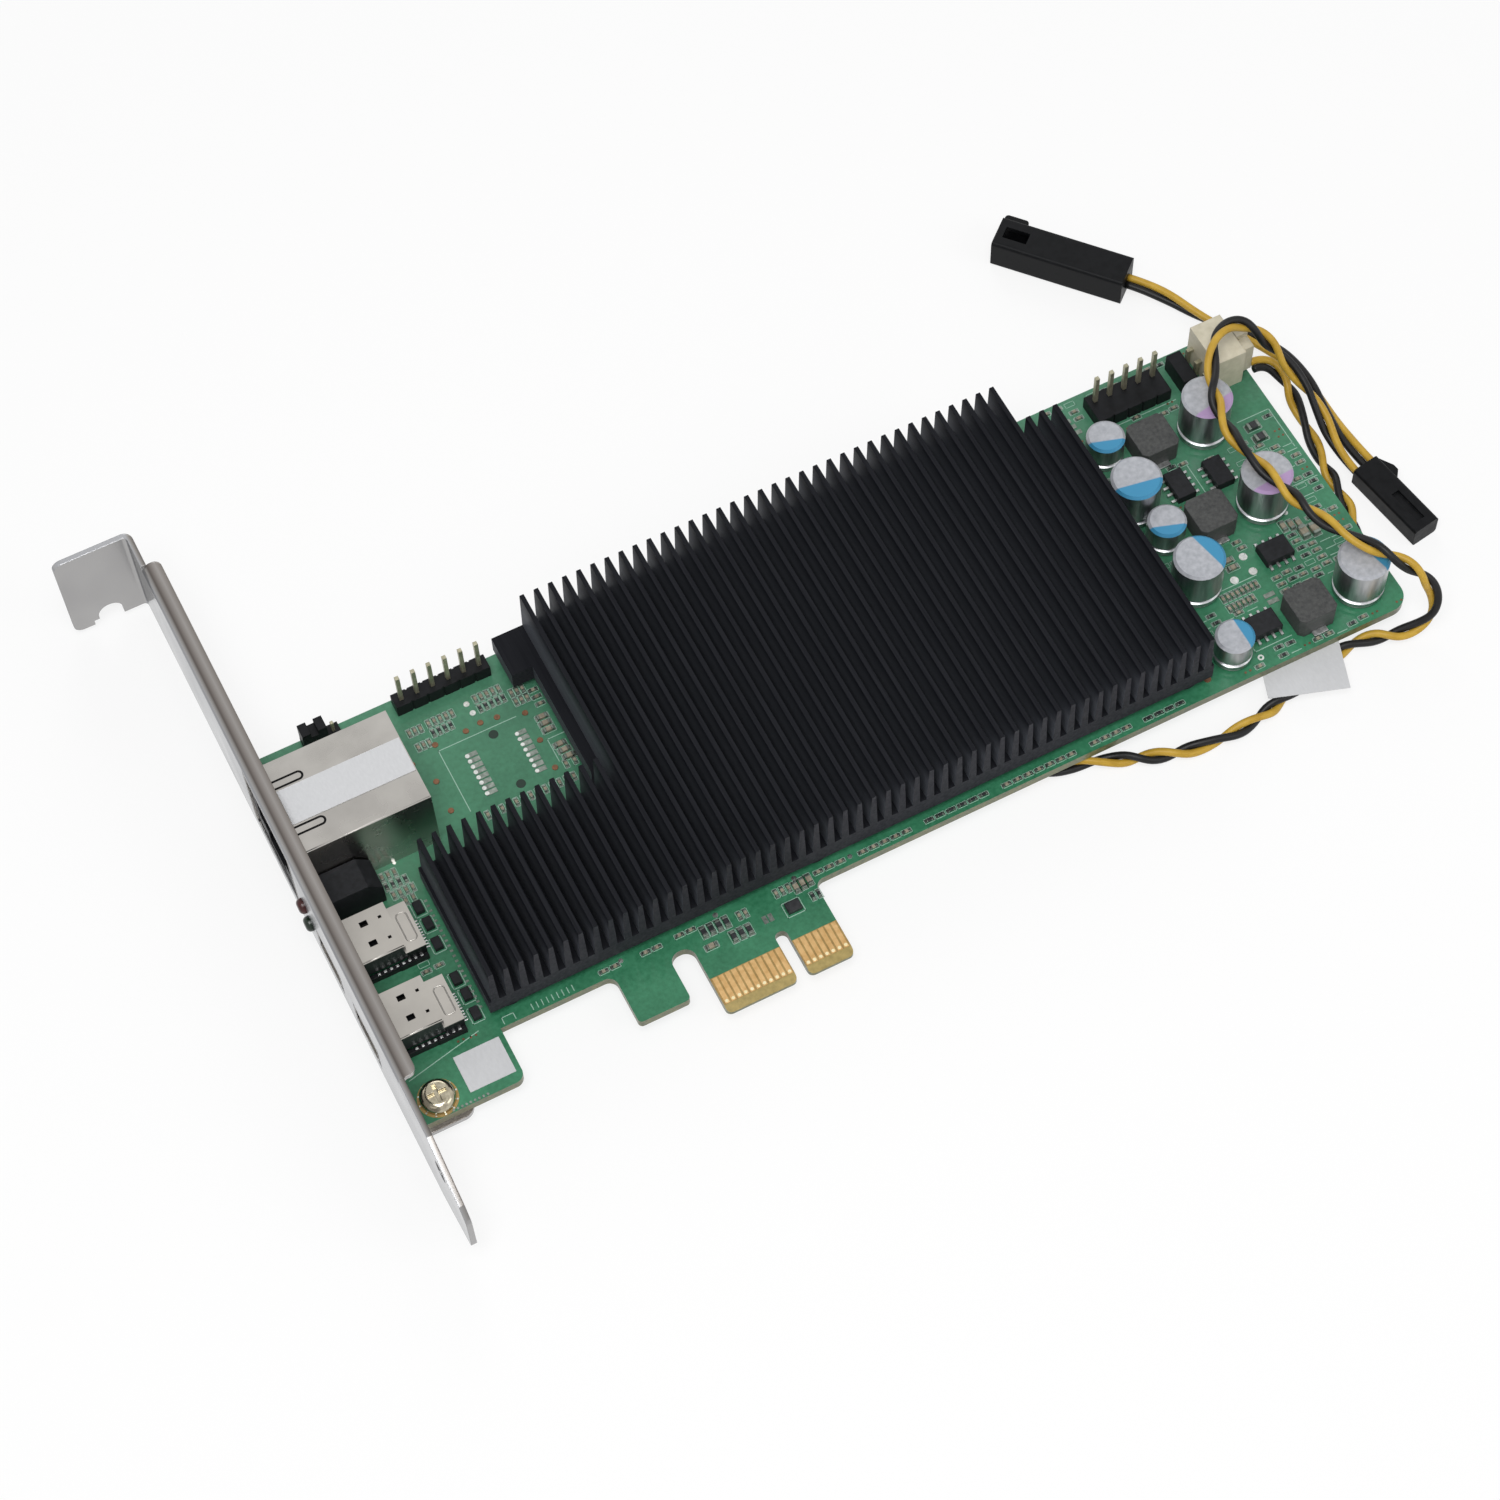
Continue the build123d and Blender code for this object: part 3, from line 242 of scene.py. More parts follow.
def solder_mask():
    """Green lacquer over copper, darker where no copper lies under it, and paler towards the far end by
    painted light; bare laminate at the edges.
    """
    shader = Shader("solder_mask", srgb(36, 108, 74), roughness=0.34, coat=0.15, specular=0.35)
    patches = shader.noise(7.0, 2.0)
    speckle = shader.noise(0.7, 4.0)
    wide = shader.ramp(patches, [(0.35, srgb(38, 105, 73)), (0.65, srgb(59, 129, 94))])
    fine = shader.tint(speckle, srgb(40, 101, 70), srgb(68, 139, 104))
    bevel = shader.tint(speckle, srgb(142, 124, 64), srgb(170, 148, 84))
    side = shader.tint(speckle, srgb(84, 92, 66), srgb(122, 122, 88))
    upright = shader.maths("ABSOLUTE", shader.facing("Z"))
    edges = shader.mix(shader.span(upright, 0.3, 0.5, 0.0, 1.0), side, bevel)
    # Painted light: the lacquer turns paler towards the far end of the card
    far = shader.between("Y", *[card(0, y).y / MM for y in PAINTED_LIGHT_Y])
    lacquer = shader.mix(MOTTLE_SHARE, wide, fine)
    face = shader.mix(shader.span(far, 0, 1, 0.0, PAINTED_LIGHT_SHARE), lacquer, srgb(120, 156, 138))
    shader.colour(shader.mix(shader.span(upright, 0.95, 0.98, 0.0, 1.0), edges, face))
    shader.roughness(speckle, 0.28, 0.42)
    shader.bump(speckle, 0.25, 0.02)
    return shader.material


# Heat sink: how far below its top the fins' sides keep their dark anodising, and from where painted light
# makes them greyest deep between the fins
PAINTED_FILL_STARTS = 0.3
PAINTED_FILL_FULL = 3.6


def anodised():
    """Black anodised aluminium: drawn lines along the fins, greyer on sawn ends; painted light makes the
    fins' sides greyer deep between them, and painted shade makes the fin tops a little darker than the sides.
    """
    shader = Shader("black_anodised", srgb(30, 32, 37), roughness=0.5, specular=0.05)
    lines = shader.noise(0.22, 3.0, (1.0, 0.02, 1.0))
    cloud = shader.noise(9.0, 3.0)
    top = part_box("heat_sink")[1][2] / MM
    upper = shader.tint(lines, srgb(25, 27, 32), srgb(33, 35, 40))
    # Painted light: the lower part of the fins' sides is much paler, brightening the shade deep between the
    # fins
    painted_fill_sides = shader.tint(lines, srgb(78, 81, 88), srgb(94, 97, 104))
    sides = shader.mix(shader.between("Z", top - PAINTED_FILL_FULL, top - PAINTED_FILL_STARTS), painted_fill_sides, upper)
    # Painted shade: the fin tops are a little darker than the upper sides, against the lamps' light
    painted_dim_tops = shader.tint(lines, srgb(24, 25, 29), srgb(33, 34, 38))
    ends = shader.tint(shader.noise(0.4, 5.0), srgb(40, 41, 46), srgb(60, 60, 65))
    faces = shader.mix(shader.faces_up(0.8, 0.95), sides, painted_dim_tops)
    shader.colour(shader.mix(shader.faces_low("Y"), faces, ends))
    shader.roughness(cloud, 0.42, 0.6)
    shader.bump(lines, 0.35, 0.02)
    return shader.material


# Bracket: the place of its outer face and the width of its flange, in millimetres on the card
FACE_X = -59.2
FLANGE_W = 2.9


def bright_sheet():
    """Nickel-plated steel sheet, with painted reflections: pale and dark strips across the flange beside the
    bend, and a darker outer face.
    """
    shader = Shader("nickel_sheet", srgb(176, 174, 171), roughness=0.2, metallic=1.0)
    rolled = shader.noise(0.35, 4.0, (1.0, 0.03, 1.0))
    cloud = shader.noise(14.0, 2.0)
    sheet = shader.tint(cloud, srgb(158, 157, 157), srgb(173, 172, 171))
    # Painted reflection: the outer face is darker than the rest of the sheet
    painted_dark_outside = shader.tint(cloud, srgb(122, 124, 128), srgb(138, 140, 144))
    # Painted reflection: pale and dark strips across the flange, where a rounded bend would mirror light and
    # dark
    bend = card(FACE_X, 0).x / MM
    flange = shader.ramp(shader.between("X", bend, bend + FLANGE_W), [
        (0.0, srgb(176, 177, 180)), (0.14, srgb(150, 147, 144)), (0.3, srgb(98, 92, 88)),
        (0.45, srgb(130, 124, 120)), (0.7, srgb(158, 154, 151)), (0.97, srgb(130, 124, 119)),
    ])
    walls = shader.mix(shader.faces_low("X"), sheet, painted_dark_outside)
    shader.colour(shader.mix(shader.faces_up(0.5, 0.9), walls, flange))
    shader.roughness(cloud, 0.14, 0.24)
    shader.bump(rolled, 0.06, 0.01, edge=0.25)
    return shader.material


RELIEF_FINER = 5    # how much finer a metal's relief is than its tint


def plain_metal(name, dark, light, rough, size=1.5, edge=0.12, metallic=1.0, relief=0.08):
    """A metal whose tint and polish change gently over its surface: rough is from and to."""
    shader = Shader(name, light, metallic=metallic)
    cloud = shader.noise(size, 4.0)
    shader.colour(shader.tint(cloud, dark, light))
    shader.roughness(cloud, *rough)
    shader.bump(shader.noise(size / RELIEF_FINER, 3.0), relief, 0.015, edge)
    return shader.material


def display_metal():
    """The display sockets' sheet metal; the side towards the edge connector is painted shade and reflection,
    dark and dull like plastic.
    """
    shader = Shader("display_shell", srgb(182, 179, 174), metallic=1.0)
    cloud = shader.noise(6.0, 4.0)
    sheet = shader.tint(cloud, srgb(174, 170, 164), srgb(186, 182, 175))
    # Painted shade and reflection: the side towards the edge connector is dark and dull
    plastic = shader.tint(cloud, srgb(28, 29, 31), srgb(38, 39, 41))
    side = shader.faces_low("Y")
    shader.colour(shader.mix(side, sheet, plastic))
    shader.link(shader.span(side, 0, 1, 1.0, 0.0), shader.surface.inputs["Metallic"])
    shader.link(shader.span(side, 0, 1, 0.28, 0.45), shader.surface.inputs["Roughness"])
    shader.bump(shader.noise(1.2, 3.0), 0.02, 0.015)
    return shader.material


def plain_plastic(name, dark, light, rough, size=1.2, grain=0.12, coat=0.0, edge=0.2, specular=0.4):
    """A moulded plastic with fine grain and a slightly uneven tint: rough is from and to."""
    shader = Shader(name, light, coat=coat, specular=specular)
    cloud = shader.noise(size, 4.0)
    fine = shader.noise(grain, 3.0)
    shader.colour(shader.tint(cloud, dark, light))
    shader.roughness(cloud, *rough)
    shader.bump(fine, 0.25, 0.015, edge)
    return shader.material


FIBRE_SHADE = 0.93    # how bright a label's fibres are beside its paper


def paper(name, light):
    """Smooth label paper with fibres just showing."""
    shader = Shader(name, light, roughness=0.6)
    fibres = shader.noise(0.35, 5.0, (1.0, 0.4, 1.0))
    dim = tuple(channel * FIBRE_SHADE for channel in light[:3]) + (1.0,)
    shader.colour(shader.tint(fibres, dim, light))
    shader.bump(fibres, 0.1, 0.01)
    return shader.material


CAN_RIM = (1.2, 0.8)    # the top's finish fades in between these depths below it
SEGMENT_BLUR = 0.1    # how soft the coloured segment's edge is, to each side


def can_material(node, centre, turn, start, tint):
    """Drawn aluminium, with a lacquered top that carries one coloured segment: it starts at a
    distance from the centre, in millimetres, along a heading in degrees."""
    shader = Shader(f"{node}_can", srgb(198, 199, 202), roughness=0.25, metallic=1.0)
    x, y = card(*centre).xy / MM
    top_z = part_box(node)[1][2] / MM
    reach = shader.nodes.new("ShaderNodeVectorMath")
    reach.operation = "DOT_PRODUCT"
    reach.inputs[1].default_value = (cos(radians(turn)), sin(radians(turn)), 0)
    shift = shader.nodes.new("ShaderNodeVectorMath")
    shift.operation = "SUBTRACT"
    shift.inputs[1].default_value = (x, y, 0)
    shader.link(shader.place(), shift.inputs[0])
    shader.link(shift.outputs["Vector"], reach.inputs[0])
    segment = shader.span(reach.outputs["Value"], start - SEGMENT_BLUR, start + SEGMENT_BLUR, 0.0, 1.0)
    mottle = shader.noise(0.8, 4.0)
    pale = shader.tint(mottle, srgb(160, 163, 169), srgb(184, 186, 192))
    top = shader.mix(segment, pale, tint)
    drawn = shader.noise(0.5, 3.0, (1, 1, 0.1))
    side = shader.tint(drawn, srgb(160, 162, 165), srgb(188, 189, 191))
    is_high = shader.between("Z", top_z - CAN_RIM[0], top_z - CAN_RIM[1])
    is_top = shader.maths("MULTIPLY", shader.faces_up(0.35, 0.7), is_high)
    shader.colour(shader.mix(is_top, side, top))
    shader.link(shader.span(is_top, 0, 1, 1.0, 0.1), shader.surface.inputs["Metallic"])
    shader.link(shader.span(is_top, 0, 1, 0.32, 0.45), shader.surface.inputs["Roughness"])
    return shader.material


BLUE = srgb(60, 140, 180)
PURPLE = srgb(176, 148, 190)
CAN_TOPS = {  # centre on the card, heading of the segment, where it starts, its colour
    "capacitor_small_1": ((81.3, 57.0), -108, 0.9, BLUE),
    "capacitor_small_2": ((81.9, 39.5), -109, 1.0, BLUE),
    "capacitor_small_3": ((80.6, 17.4), 0, 1.1, BLUE),
    "capacitor_large_1": ((80.6, 46.8), -100, 1.1, BLUE),
    "capacitor_large_2": ((81.8, 30.2), 12, 1.5, BLUE),
    "capacitor_large_3": ((103.3, 18.8), 14, 1.0, BLUE),
    "capacitor_tall_1": ((97.2, 54.2), -80, 1.6, PURPLE),
    "capacitor_tall_2": ((98.2, 38.2), -86, 1.6, PURPLE),
}


def dress(node, material):
    """Give a node of the frame its finish."""
    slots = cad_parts[node].data.materials
    slots.clear()
    slots.append(material)


def dress_nodes():
    """Finish every node of the frame, and add the sockets' details in the same finishes."""
    black = plain_plastic("black_plastic", srgb(18, 19, 21), srgb(27, 28, 31), (0.36, 0.52), specular=0.14)
    nylon = plain_plastic("black_nylon", srgb(12, 13, 15), srgb(20, 21, 23), (0.36, 0.5), specular=0.12)
    resin = plain_plastic("chip_resin", srgb(26, 27, 29), srgb(40, 41, 44), (0.5, 0.7),
                          size=0.8, grain=0.1, specular=0.2)
    powder = plain_plastic("inductor_powder", srgb(62, 63, 63), srgb(84, 85, 84), (0.45, 0.65),
                           size=0.5, grain=0.15, specular=0.2)
    cream = plain_plastic("cream_nylon", srgb(198, 191, 168), srgb(214, 207, 186), (0.35, 0.5))
    seal = plain_plastic("seal", srgb(170, 170, 170), srgb(196, 196, 194), (0.4, 0.6))
    pad = plain_plastic("thermal_pad", srgb(150, 155, 160), srgb(170, 174, 178), (0.7, 0.9))
    gold = plain_metal("gold_plate", srgb(204, 163, 106), srgb(220, 183, 130), (0.3, 0.42),
                       size=0.8, edge=0.0)
    shell = plain_metal("tinned_shell", srgb(172, 169, 164), srgb(182, 179, 174), (0.24, 0.32),
                        size=6.0, edge=0.0, relief=0.02)
    solder = plain_metal("solder", srgb(170, 172, 172), srgb(206, 207, 206), (0.3, 0.45), size=0.5)
    pins = plain_metal("pin_plate", srgb(150, 146, 122), srgb(184, 180, 156), (0.3, 0.42),
                       size=0.8, metallic=0.6)
    steel = plain_metal("screw_steel", srgb(158, 150, 130), srgb(196, 188, 166), (0.12, 0.22), size=0.7)
    white = paper("label_paper", srgb(206, 207, 209))
    red = plain_plastic("red_lens", srgb(52, 14, 12), srgb(70, 19, 16), (0.2, 0.3), coat=0.1)
    green = plain_plastic("green_lens", srgb(18, 32, 22), srgb(26, 44, 30), (0.2, 0.3), coat=0.1)
    finishes = {
        solder_mask(): ["circuit_board"],
        anodised(): ["heat_sink"],
        bright_sheet(): ["io_bracket"],
        black: [
            "jack_insert", "display_insulator_1", "display_insulator_2", "six_header_base", "jumper_base",
            "jumper_cap", "ten_header_base", "key_block", "heat_sink_washers",
        ],
        nylon: ["connector_a", "connector_b"],
        resin: ["processor", "memory_chips", "power_chips", "line_filters", "light_holder"],
        powder: ["inductor_1", "inductor_2", "inductor_3"],
        cream: ["cable_header", "cable_plug"],
        seal: ["capacitor_bases"],
        pad: ["thermal_pads"],
        gold: ["gold_fingers", "jack_contacts"],
        shell: ["jack_shell"],
        display_metal(): ["display_shell_1", "display_shell_2"],
        solder: ["inductor_terminals", "power_chip_leads", "solder_joints"],
        pins: ["six_header_pins", "jumper_pins", "ten_header_pins", "cable_header_pins", "light_clip"],
        steel: ["bracket_screw", "heat_sink_screws"],
        white: ["jack_label", "board_sticker", "flag_label"],
        red: ["lens_red"],
        green: ["lens_green"],
    }
    add_shell_details(shell, solder, black)
    for material, nodes in finishes.items():
        for node in nodes:
            dress(node, material)
    for node, (centre, turn, start, tint) in CAN_TOPS.items():
        dress(node, can_material(node, centre, turn, start, tint))


# Harness: the same points as the solids, in millimetres on the card
WIRE_R = 0.6
PLUG_END_X = 109.3
LEAD_PORT = (60.0, 1.7)    # where the long lead leaves the plug: across the card, and up
PLUG_STUB = 2.6    # how far a lead runs straight out of the plug and the connectors
CONNECTOR_STUB = 5.0
PAIR_OFFSET = 1.25    # connector B's two leads are this far to each side of its middle
# Inline connectors: the middle of the rear face, where they point, and how high that middle is
A_REAR = (101.7, 85.1)
A_HEADING = 130.7
A_MIDDLE = 2.8
B_REAR = (116.4, 37.5)
B_HEADING = -81.0
B_MIDDLE = 1.9
REST_GAP = 0.02    # between a connector and the floor
LONG_ROUTE = [
    (113.4, 56.0, 0.0), (113.0, 51.6, -1.9), (112.6, 46.6, -2.95),
    (111.6, 41.4, -2.95), (111.2, 36.0, -2.95), (110.4, 30.4, -2.95), (107.8, 25.2, -2.95),
    (102.2, 22.4, -2.95), (94.6, 22.2, -2.95), (84.4, 24.4, -2.95), (72.4, 28.4, -2.95),
    (60.5, 32.4, -2.95), (49.5, 34.0, -2.95), (40.6, 31.2, -2.95), (36.6, 24.2, -2.95),
    (39.0, 17.2, -2.95), (46.0, 14.4, -2.95), (53.4, 13.2, -2.95), (60.4, 10.0, -2.95),
    (67.8, 7.4, -2.95), (76.2, 6.9, -2.95), (84.8, 8.6, -2.95), (93.4, 11.4, -2.95),
    (100.4, 12.2, -2.95), (106.2, 9.8, -2.8), (110.8, 9.4, -0.6), (111.4, 10.8, 4.4),
    (109.0, 13.4, 8.4), (105.8, 17.0, 10.3), (102.2, 22.2, 10.5), (99.6, 28.0, 10.6),
    (97.9, 33.4, 11.2), (96.8, 39.0, 11.3), (95.9, 44.4, 11.0), (96.3, 49.6, 11.2),
    (97.8, 54.2, 11.7), (99.8, 58.0, 12.4), (102.6, 61.4, 13.0), (106.4, 62.2, 12.8),
    (109.4, 60.2, 10.8), (111.6, 57.6, 7.4), (113.4, 54.4, 4.0), (114.9, 49.8, 1.4),
]
LINK_ROUTE = [
    (117.4, 49.4, -2.95), (118.0, 55.8, -2.95), (116.8, 62.2, -2.95), (113.6, 68.2, -2.95),
    (109.4, 73.6, -2.8),
]
# How the wires wind: one full turn's length, the stretch at each end where the twist fades, first turn
LONG_WINDING = (13.0, (8.0, 20.0), 0.4)
LINK_WINDING = (46.0, (6.0, 6.0), 2.6)
TWIST_LEFT = 0.05    # what is left of the twist at its far end
TWIST_WAVES = [(0.25, 0.31, 0.0), (0.15, 0.83, 1.0)]    # how much, how often and from where it varies
CORD_STEPS = 12    # points on each span of a route's line
STRAND_SIDES = 10


def rear_port(rear, heading, middle, side, back):
    """A place behind a connector's rear face, moved sideways from its middle."""
    turn = radians(heading)
    x = rear[0] - side * sin(turn) - back * cos(turn)
    y = rear[1] + side * cos(turn) - back * sin(turn)
    return (x, y, FLOOR_Z + REST_GAP + middle)


def smooth_line(name, route):
    """The points of the NURBS line that has the route as its control points."""
    data = bpy.data.curves.new(name, "CURVE")
    data.dimensions = "3D"
    data.resolution_u = CORD_STEPS
    spline = data.splines.new("NURBS")
    spline.points.add(len(route) - 1)
    for point, place in zip(spline.points, route):
        point.co = (*card(*place), 1)
    spline.order_u = 3
    spline.use_endpoint_u = True
    holder = bpy.data.objects.new(name, data)
    bpy.context.collection.objects.link(holder)
    mesh = bpy.data.meshes.new_from_object(holder)
    line = [v.co.copy() for v in mesh.vertices]
    bpy.data.meshes.remove(mesh)
    bpy.data.objects.remove(holder)
    bpy.data.curves.remove(data)
    return line


def carried_frames(line):
    """For each point of a line, its two sideways directions, carried along without twist."""
    side = Vector((0, 0, 1)).cross(line[1] - line[0]).normalized()
    frames = []
    for n, point in enumerate(line):
        ahead = (line[min(n + 1, len(line) - 1)] - line[max(n - 1, 0)]).normalized()
        side = (side - ahead * side.dot(ahead)).normalized()
        frames.append((point, side, ahead.cross(side)))
    return frames


def turns_round(count):
    """Even turns round a circle, in radians."""
    return [2 * pi * n / count for n in range(count)]


def join_rings(bm, one, two):
    """The faces between two rings that have the same number of corners."""
    pairs = list(zip(one, two))
    return [bm.faces.new((a, b, d, c)) for (a, c), (b, d) in zip(pairs, pairs[1:] + pairs[:1])]


def add_strand(bm, line, radius, slot):
    """One wire as a round tube along a line of points, closed at both ends."""
    rings = []
    for point, side, over in carried_frames(line):
        reaches = [side * cos(turn) + over * sin(turn) for turn in turns_round(STRAND_SIDES)]
        rings.append([bm.verts.new(point + reach * radius * MM) for reach in reaches])
    faces = [face for one, two in zip(rings, rings[1:]) for face in join_rings(bm, one, two)]
    for face in faces:
        face.smooth = True
    faces += [bm.faces.new(reversed(rings[0])), bm.faces.new(rings[-1])]
    for face in faces:
        face.material_index = slot


def twisted_pair(name, route, winding, materials):
    """Two insulated wires wound round each other along a route; the twist fades at both ends."""
    pitch, (start_fade, end_fade), first_turn = winding
    line = smooth_line(f"{name}_line", route)
    bm = bmesh.new()
    length = sum((b - a).length for a, b in zip(line, line[1:])) / MM
    for wire in (0, 1):
        run, turn, strand = 0.0, first_turn + wire * pi, []
        for n, (point, side, over) in enumerate(carried_frames(line)):
            if n:
                step = (line[n] - line[n - 1]).length / MM
                run += step
                near = min(1.0, run / start_fade) * min(1.0, (length - run) / end_fade + TWIST_LEFT)
                uneven = 1 + sum(share * sin(run * rate + start) for share, rate, start in TWIST_WAVES)
                turn += 2 * pi * step / pitch * near * uneven
            strand.append(point + (side * cos(turn) + over * sin(turn)) * WIRE_R * MM)
        add_strand(bm, strand, WIRE_R, wire)
    return finish_mesh(bm, name, materials), line, length


def finish_mesh(bm, name, materials):
    """Turn a bmesh into a piece that rides on the card, with its materials."""
    data = bpy.data.meshes.new(name)
    bm.to_mesh(data)
    bm.free()
    for material in materials:
        data.materials.append(material)
    piece = bpy.data.objects.new(name, data)
    bpy.context.collection.objects.link(piece)
    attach(piece, "root")
    return piece


def declare_cord(node):
    """Hide the solid that a lead stands for."""
    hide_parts(node)


def add_harness():
    """The two leads, each a yellow and a black wire."""
    yellow = plain_plastic("yellow_wire", srgb(180, 142, 46), srgb(204, 166, 64), (0.34, 0.46),
                           size=3.0, grain=0.3, edge=0.0, specular=0.3)
    black = plain_plastic("black_wire", srgb(20, 20, 20), srgb(32, 32, 33), (0.34, 0.46),
                          size=3.0, grain=0.3, edge=0.0, specular=0.25)
    skins = [yellow, black]
    first = [(PLUG_END_X, *LEAD_PORT), (PLUG_END_X + PLUG_STUB, *LEAD_PORT)]
    last = [rear_port(B_REAR, B_HEADING, B_MIDDLE, -PAIR_OFFSET, back) for back in (CONNECTOR_STUB, 0)]
    route = first + LONG_ROUTE + last
    lead, line, length = twisted_pair("lead_long_pair", route, LONG_WINDING, skins)
    declare_cord("lead_long")
    first = [rear_port(B_REAR, B_HEADING, B_MIDDLE, PAIR_OFFSET, back) for back in (0, CONNECTOR_STUB)]
    last = [rear_port(A_REAR, A_HEADING, A_MIDDLE, 0, back) for back in (CONNECTOR_STUB, 0)]
    route = first + LINK_ROUTE + last
    lead, line, length = twisted_pair("lead_link_pair", route, LINK_WINDING, skins)
    declare_cord("lead_link")


# Small parts and marks on the board, in millimetres on the card
MARK_T = 0.03    # thickness of print and of bare copper
DOT_T = 3 * MARK_T
PAD_T = 0.06
SUNK = 0.02    # how far a small piece reaches into what carries it
TIN, CLAY, INK, SILK, COPPER, DARK, LAMINATE, PALE_GOLD, SHINY = range(9)
SILK_W = 0.14
FRAME_W = 0.09
FRAME_GAP = 0.3
DISC_SIDES = 20
RING_SIDES = 40
SPOT_SIDES = 10
PART_SIZES = {  # length, width, height
    "small": (1.0, 0.5, 0.35), "middle": (1.6, 0.8, 0.5), "large": (2.0, 1.25, 0.8),
}
# Two-ended parts: a metal end's share of the length, the body's share of the width, edges cut back
END_SHARE = 0.24
BODY_SHARE = 0.96
END_EDGE = 0.06
BODY_EDGE = 0.05
PAD_EDGE = 0.02
PAD_L = 0.3
PAD_WIDER = 0.1    # than the part
PAD_BEYOND = 0.24    # how much farther apart its pads' middles are than it is long
RUNS = [  # size and skin, first place, step to the next one, how many, heading
    ("small clay", (-30.4, 62.6), (0.95, 0), 5, 90), ("small ink", (-30.4, 60.8), (0.95, 0), 4, 90),
    ("small clay", (-22.5, 63.2), (0.95, 0), 5, 90), ("small ink", (-22.5, 61.4), (0.95, 0), 5, 90),
    ("small clay", (-33.4, 59.6), (0.9, 0), 3, 90), ("small clay", (-33.6, 62.4), (0.9, 0), 3, 90),
    ("small clay", (-17.3, 61.6), (0.9, 0), 3, 90), ("small clay", (-17.3, 59.9), (0.9, 0), 3, 90),
    ("small clay", (-14.2, 60.6), (0, -1.3), 3, 0), ("middle clay", (-15.0, 55.8), (0, -1.2), 3, 0),
    ("middle clay", (-14.6, 50.4), (0.2, -1.2), 3, 0), ("small clay", (-15.2, 47.0), (1.4, 0), 2, 90),
    ("small clay", (-29.0, 44.6), (1.16, 0), 13, 90),
    ("small clay", (-47.0, 42.4), (1, 0), 3, 90), ("small ink", (-47.0, 40.7), (1, 0), 4, 90),
    ("small clay", (-46.6, 39.0), (1, 0), 4, 90), ("small clay", (-45.4, 37.4), (1.2, 0), 2, 90),
    ("middle ink", (-9.6, 12.9), (1.2, 0), 4, 90), ("middle clay", (-9.6, 10.4), (1.2, 0), 1, 0),
    ("middle ink", (-6.1, 10.3), (1.25, 0), 3, 90), ("small clay", (-3.9, 12.9), (1, 0), 2, 90),
    ("small clay", (-12.9, 14.1), (1.8, 0), 2, 0), ("middle clay", (5.4, 13.2), (1.1, 0.1), 3, 90),
    ("small clay", (2.4, 13.6), (1, 0), 3, 90), ("small ink", (6.9, 10.8), (1, 0), 2, 90),
    ("small clay", (-18.4, 13.9), (1.8, 0), 2, 0), ("small clay", (-25.0, 14.0), (1.8, 0), 2, 0),
    ("small clay", (9.4, 13.9), (1.8, 0), 3, 0), ("small clay", (16.6, 13.8), (1.8, 0), 5, 0),
    ("small ink", (27.6, 13.9), (1.8, 0), 6, 0), ("small clay", (40.4, 13.8), (1.8, 0), 7, 0),
    ("small clay", (55.2, 13.9), (1.8, 0), 4, 0), ("small ink", (64.2, 13.8), (1.8, 0), 4, 0),
    ("small clay", (84.4, 26.3), (0.82, 0), 8, 90), ("small clay", (84.4, 24.4), (0.82, 0), 6, 90),
    ("middle clay", (88.4, 31.8), (0.1, -1.4), 2, 0), ("middle clay", (99.0, 33.2), (1.2, -0.3), 3, 90),
    ("large clay", (101.2, 30.8), (1.7, -0.2), 2, 90), ("large ink", (104.3, 51.0), (0, -2.3), 2, 0),
]
PAD_ROWS = [  # first place, step, how many, length, width
    ((-26.9, 47.9), (0, 1), 8, 1.8, 0.8), ((-18.8, 47.9), (0, 1), 8, 1.6, 0.8),
    ((-42.9, 17.2), (0, 0.9), 22, 0.5, 0.35), ((-0.9, 10.6), (0.9, 0), 2, 0.7, 1.3),
    ((90.9, 23.8), (0, -1.2), 2, 1.8, 0.8), ((84.6, 62.0), (0, -1.0), 3, 0.9, 0.5),
    ((79.2, 66.4), (0.3, -1.2), 4, 1.2, 0.8),
]
DOTS = [  # material, radius, first place, step, how many
    (SHINY, 0.5, (-24.0, 63.0), (0.2, -1.8), 2), (SHINY, 0.38, (-27.6, 47.9), (0, 1), 8),
    (SHINY, 0.36, (-19.5, 47.9), (0, 1), 8), (COPPER, 0.5, (-31.0, 58.9), (5.0, 0), 2),
    (COPPER, 0.5, (-23.5, 59.2), (2.6, -0.3), 2), (COPPER, 0.5, (-16.9, 57.6), (0, -5.2), 3),
    (COPPER, 0.5, (-33.4, 53.2), (-0.1, -5.4), 2), (COPPER, 0.5, (-35.4, 57.4), (0, 0), 1),
    (DARK, 0.75, (-22.6, 56.5), (0.1, -9.4), 2), (COPPER, 0.6, (75.3, 15.5), (0, 0), 1),
    (SHINY, 0.7, (90.9, 31.4), (0, -2.9), 2), (SHINY, 0.7, (87.6, 28.4), (0, 0), 1),
    (SHINY, 0.45, (100.6, 35.2), (0, 0), 1), (SHINY, 0.3, (-44.4, 43.8), (0, 0), 1),
    (SHINY, 0.4, (-22.1, 14.4), (0, 0), 1), (SHINY, 0.45, (-6.9, 14.6), (12.7, 0), 2),
    (SHINY, 0.4, (14.6, 14.0), (0, 0), 1), (TIN, 0.24, (-52.9, 4.5), (0.66, 0), 9),
    (PALE_GOLD, 0.3, (-11.5, 1.76), (1, 0), 11), (PALE_GOLD, 0.3, (1.5, 1.76), (1, 0), 7),
]
RINGS = [  # material, place, outer and inner radius
    (SHINY, 84.2, 15.0, 0.5, 0.22), (SILK, 103.4, 36.6, 0.7, 0.4), (LAMINATE, -54.1, 7.2, 3.0, 2.3),
]
SCREW_DOTS = 12    # spots of solder round the last ring
SCREW_DOT = (2.78, 0.18)    # how far out they are, and their radius
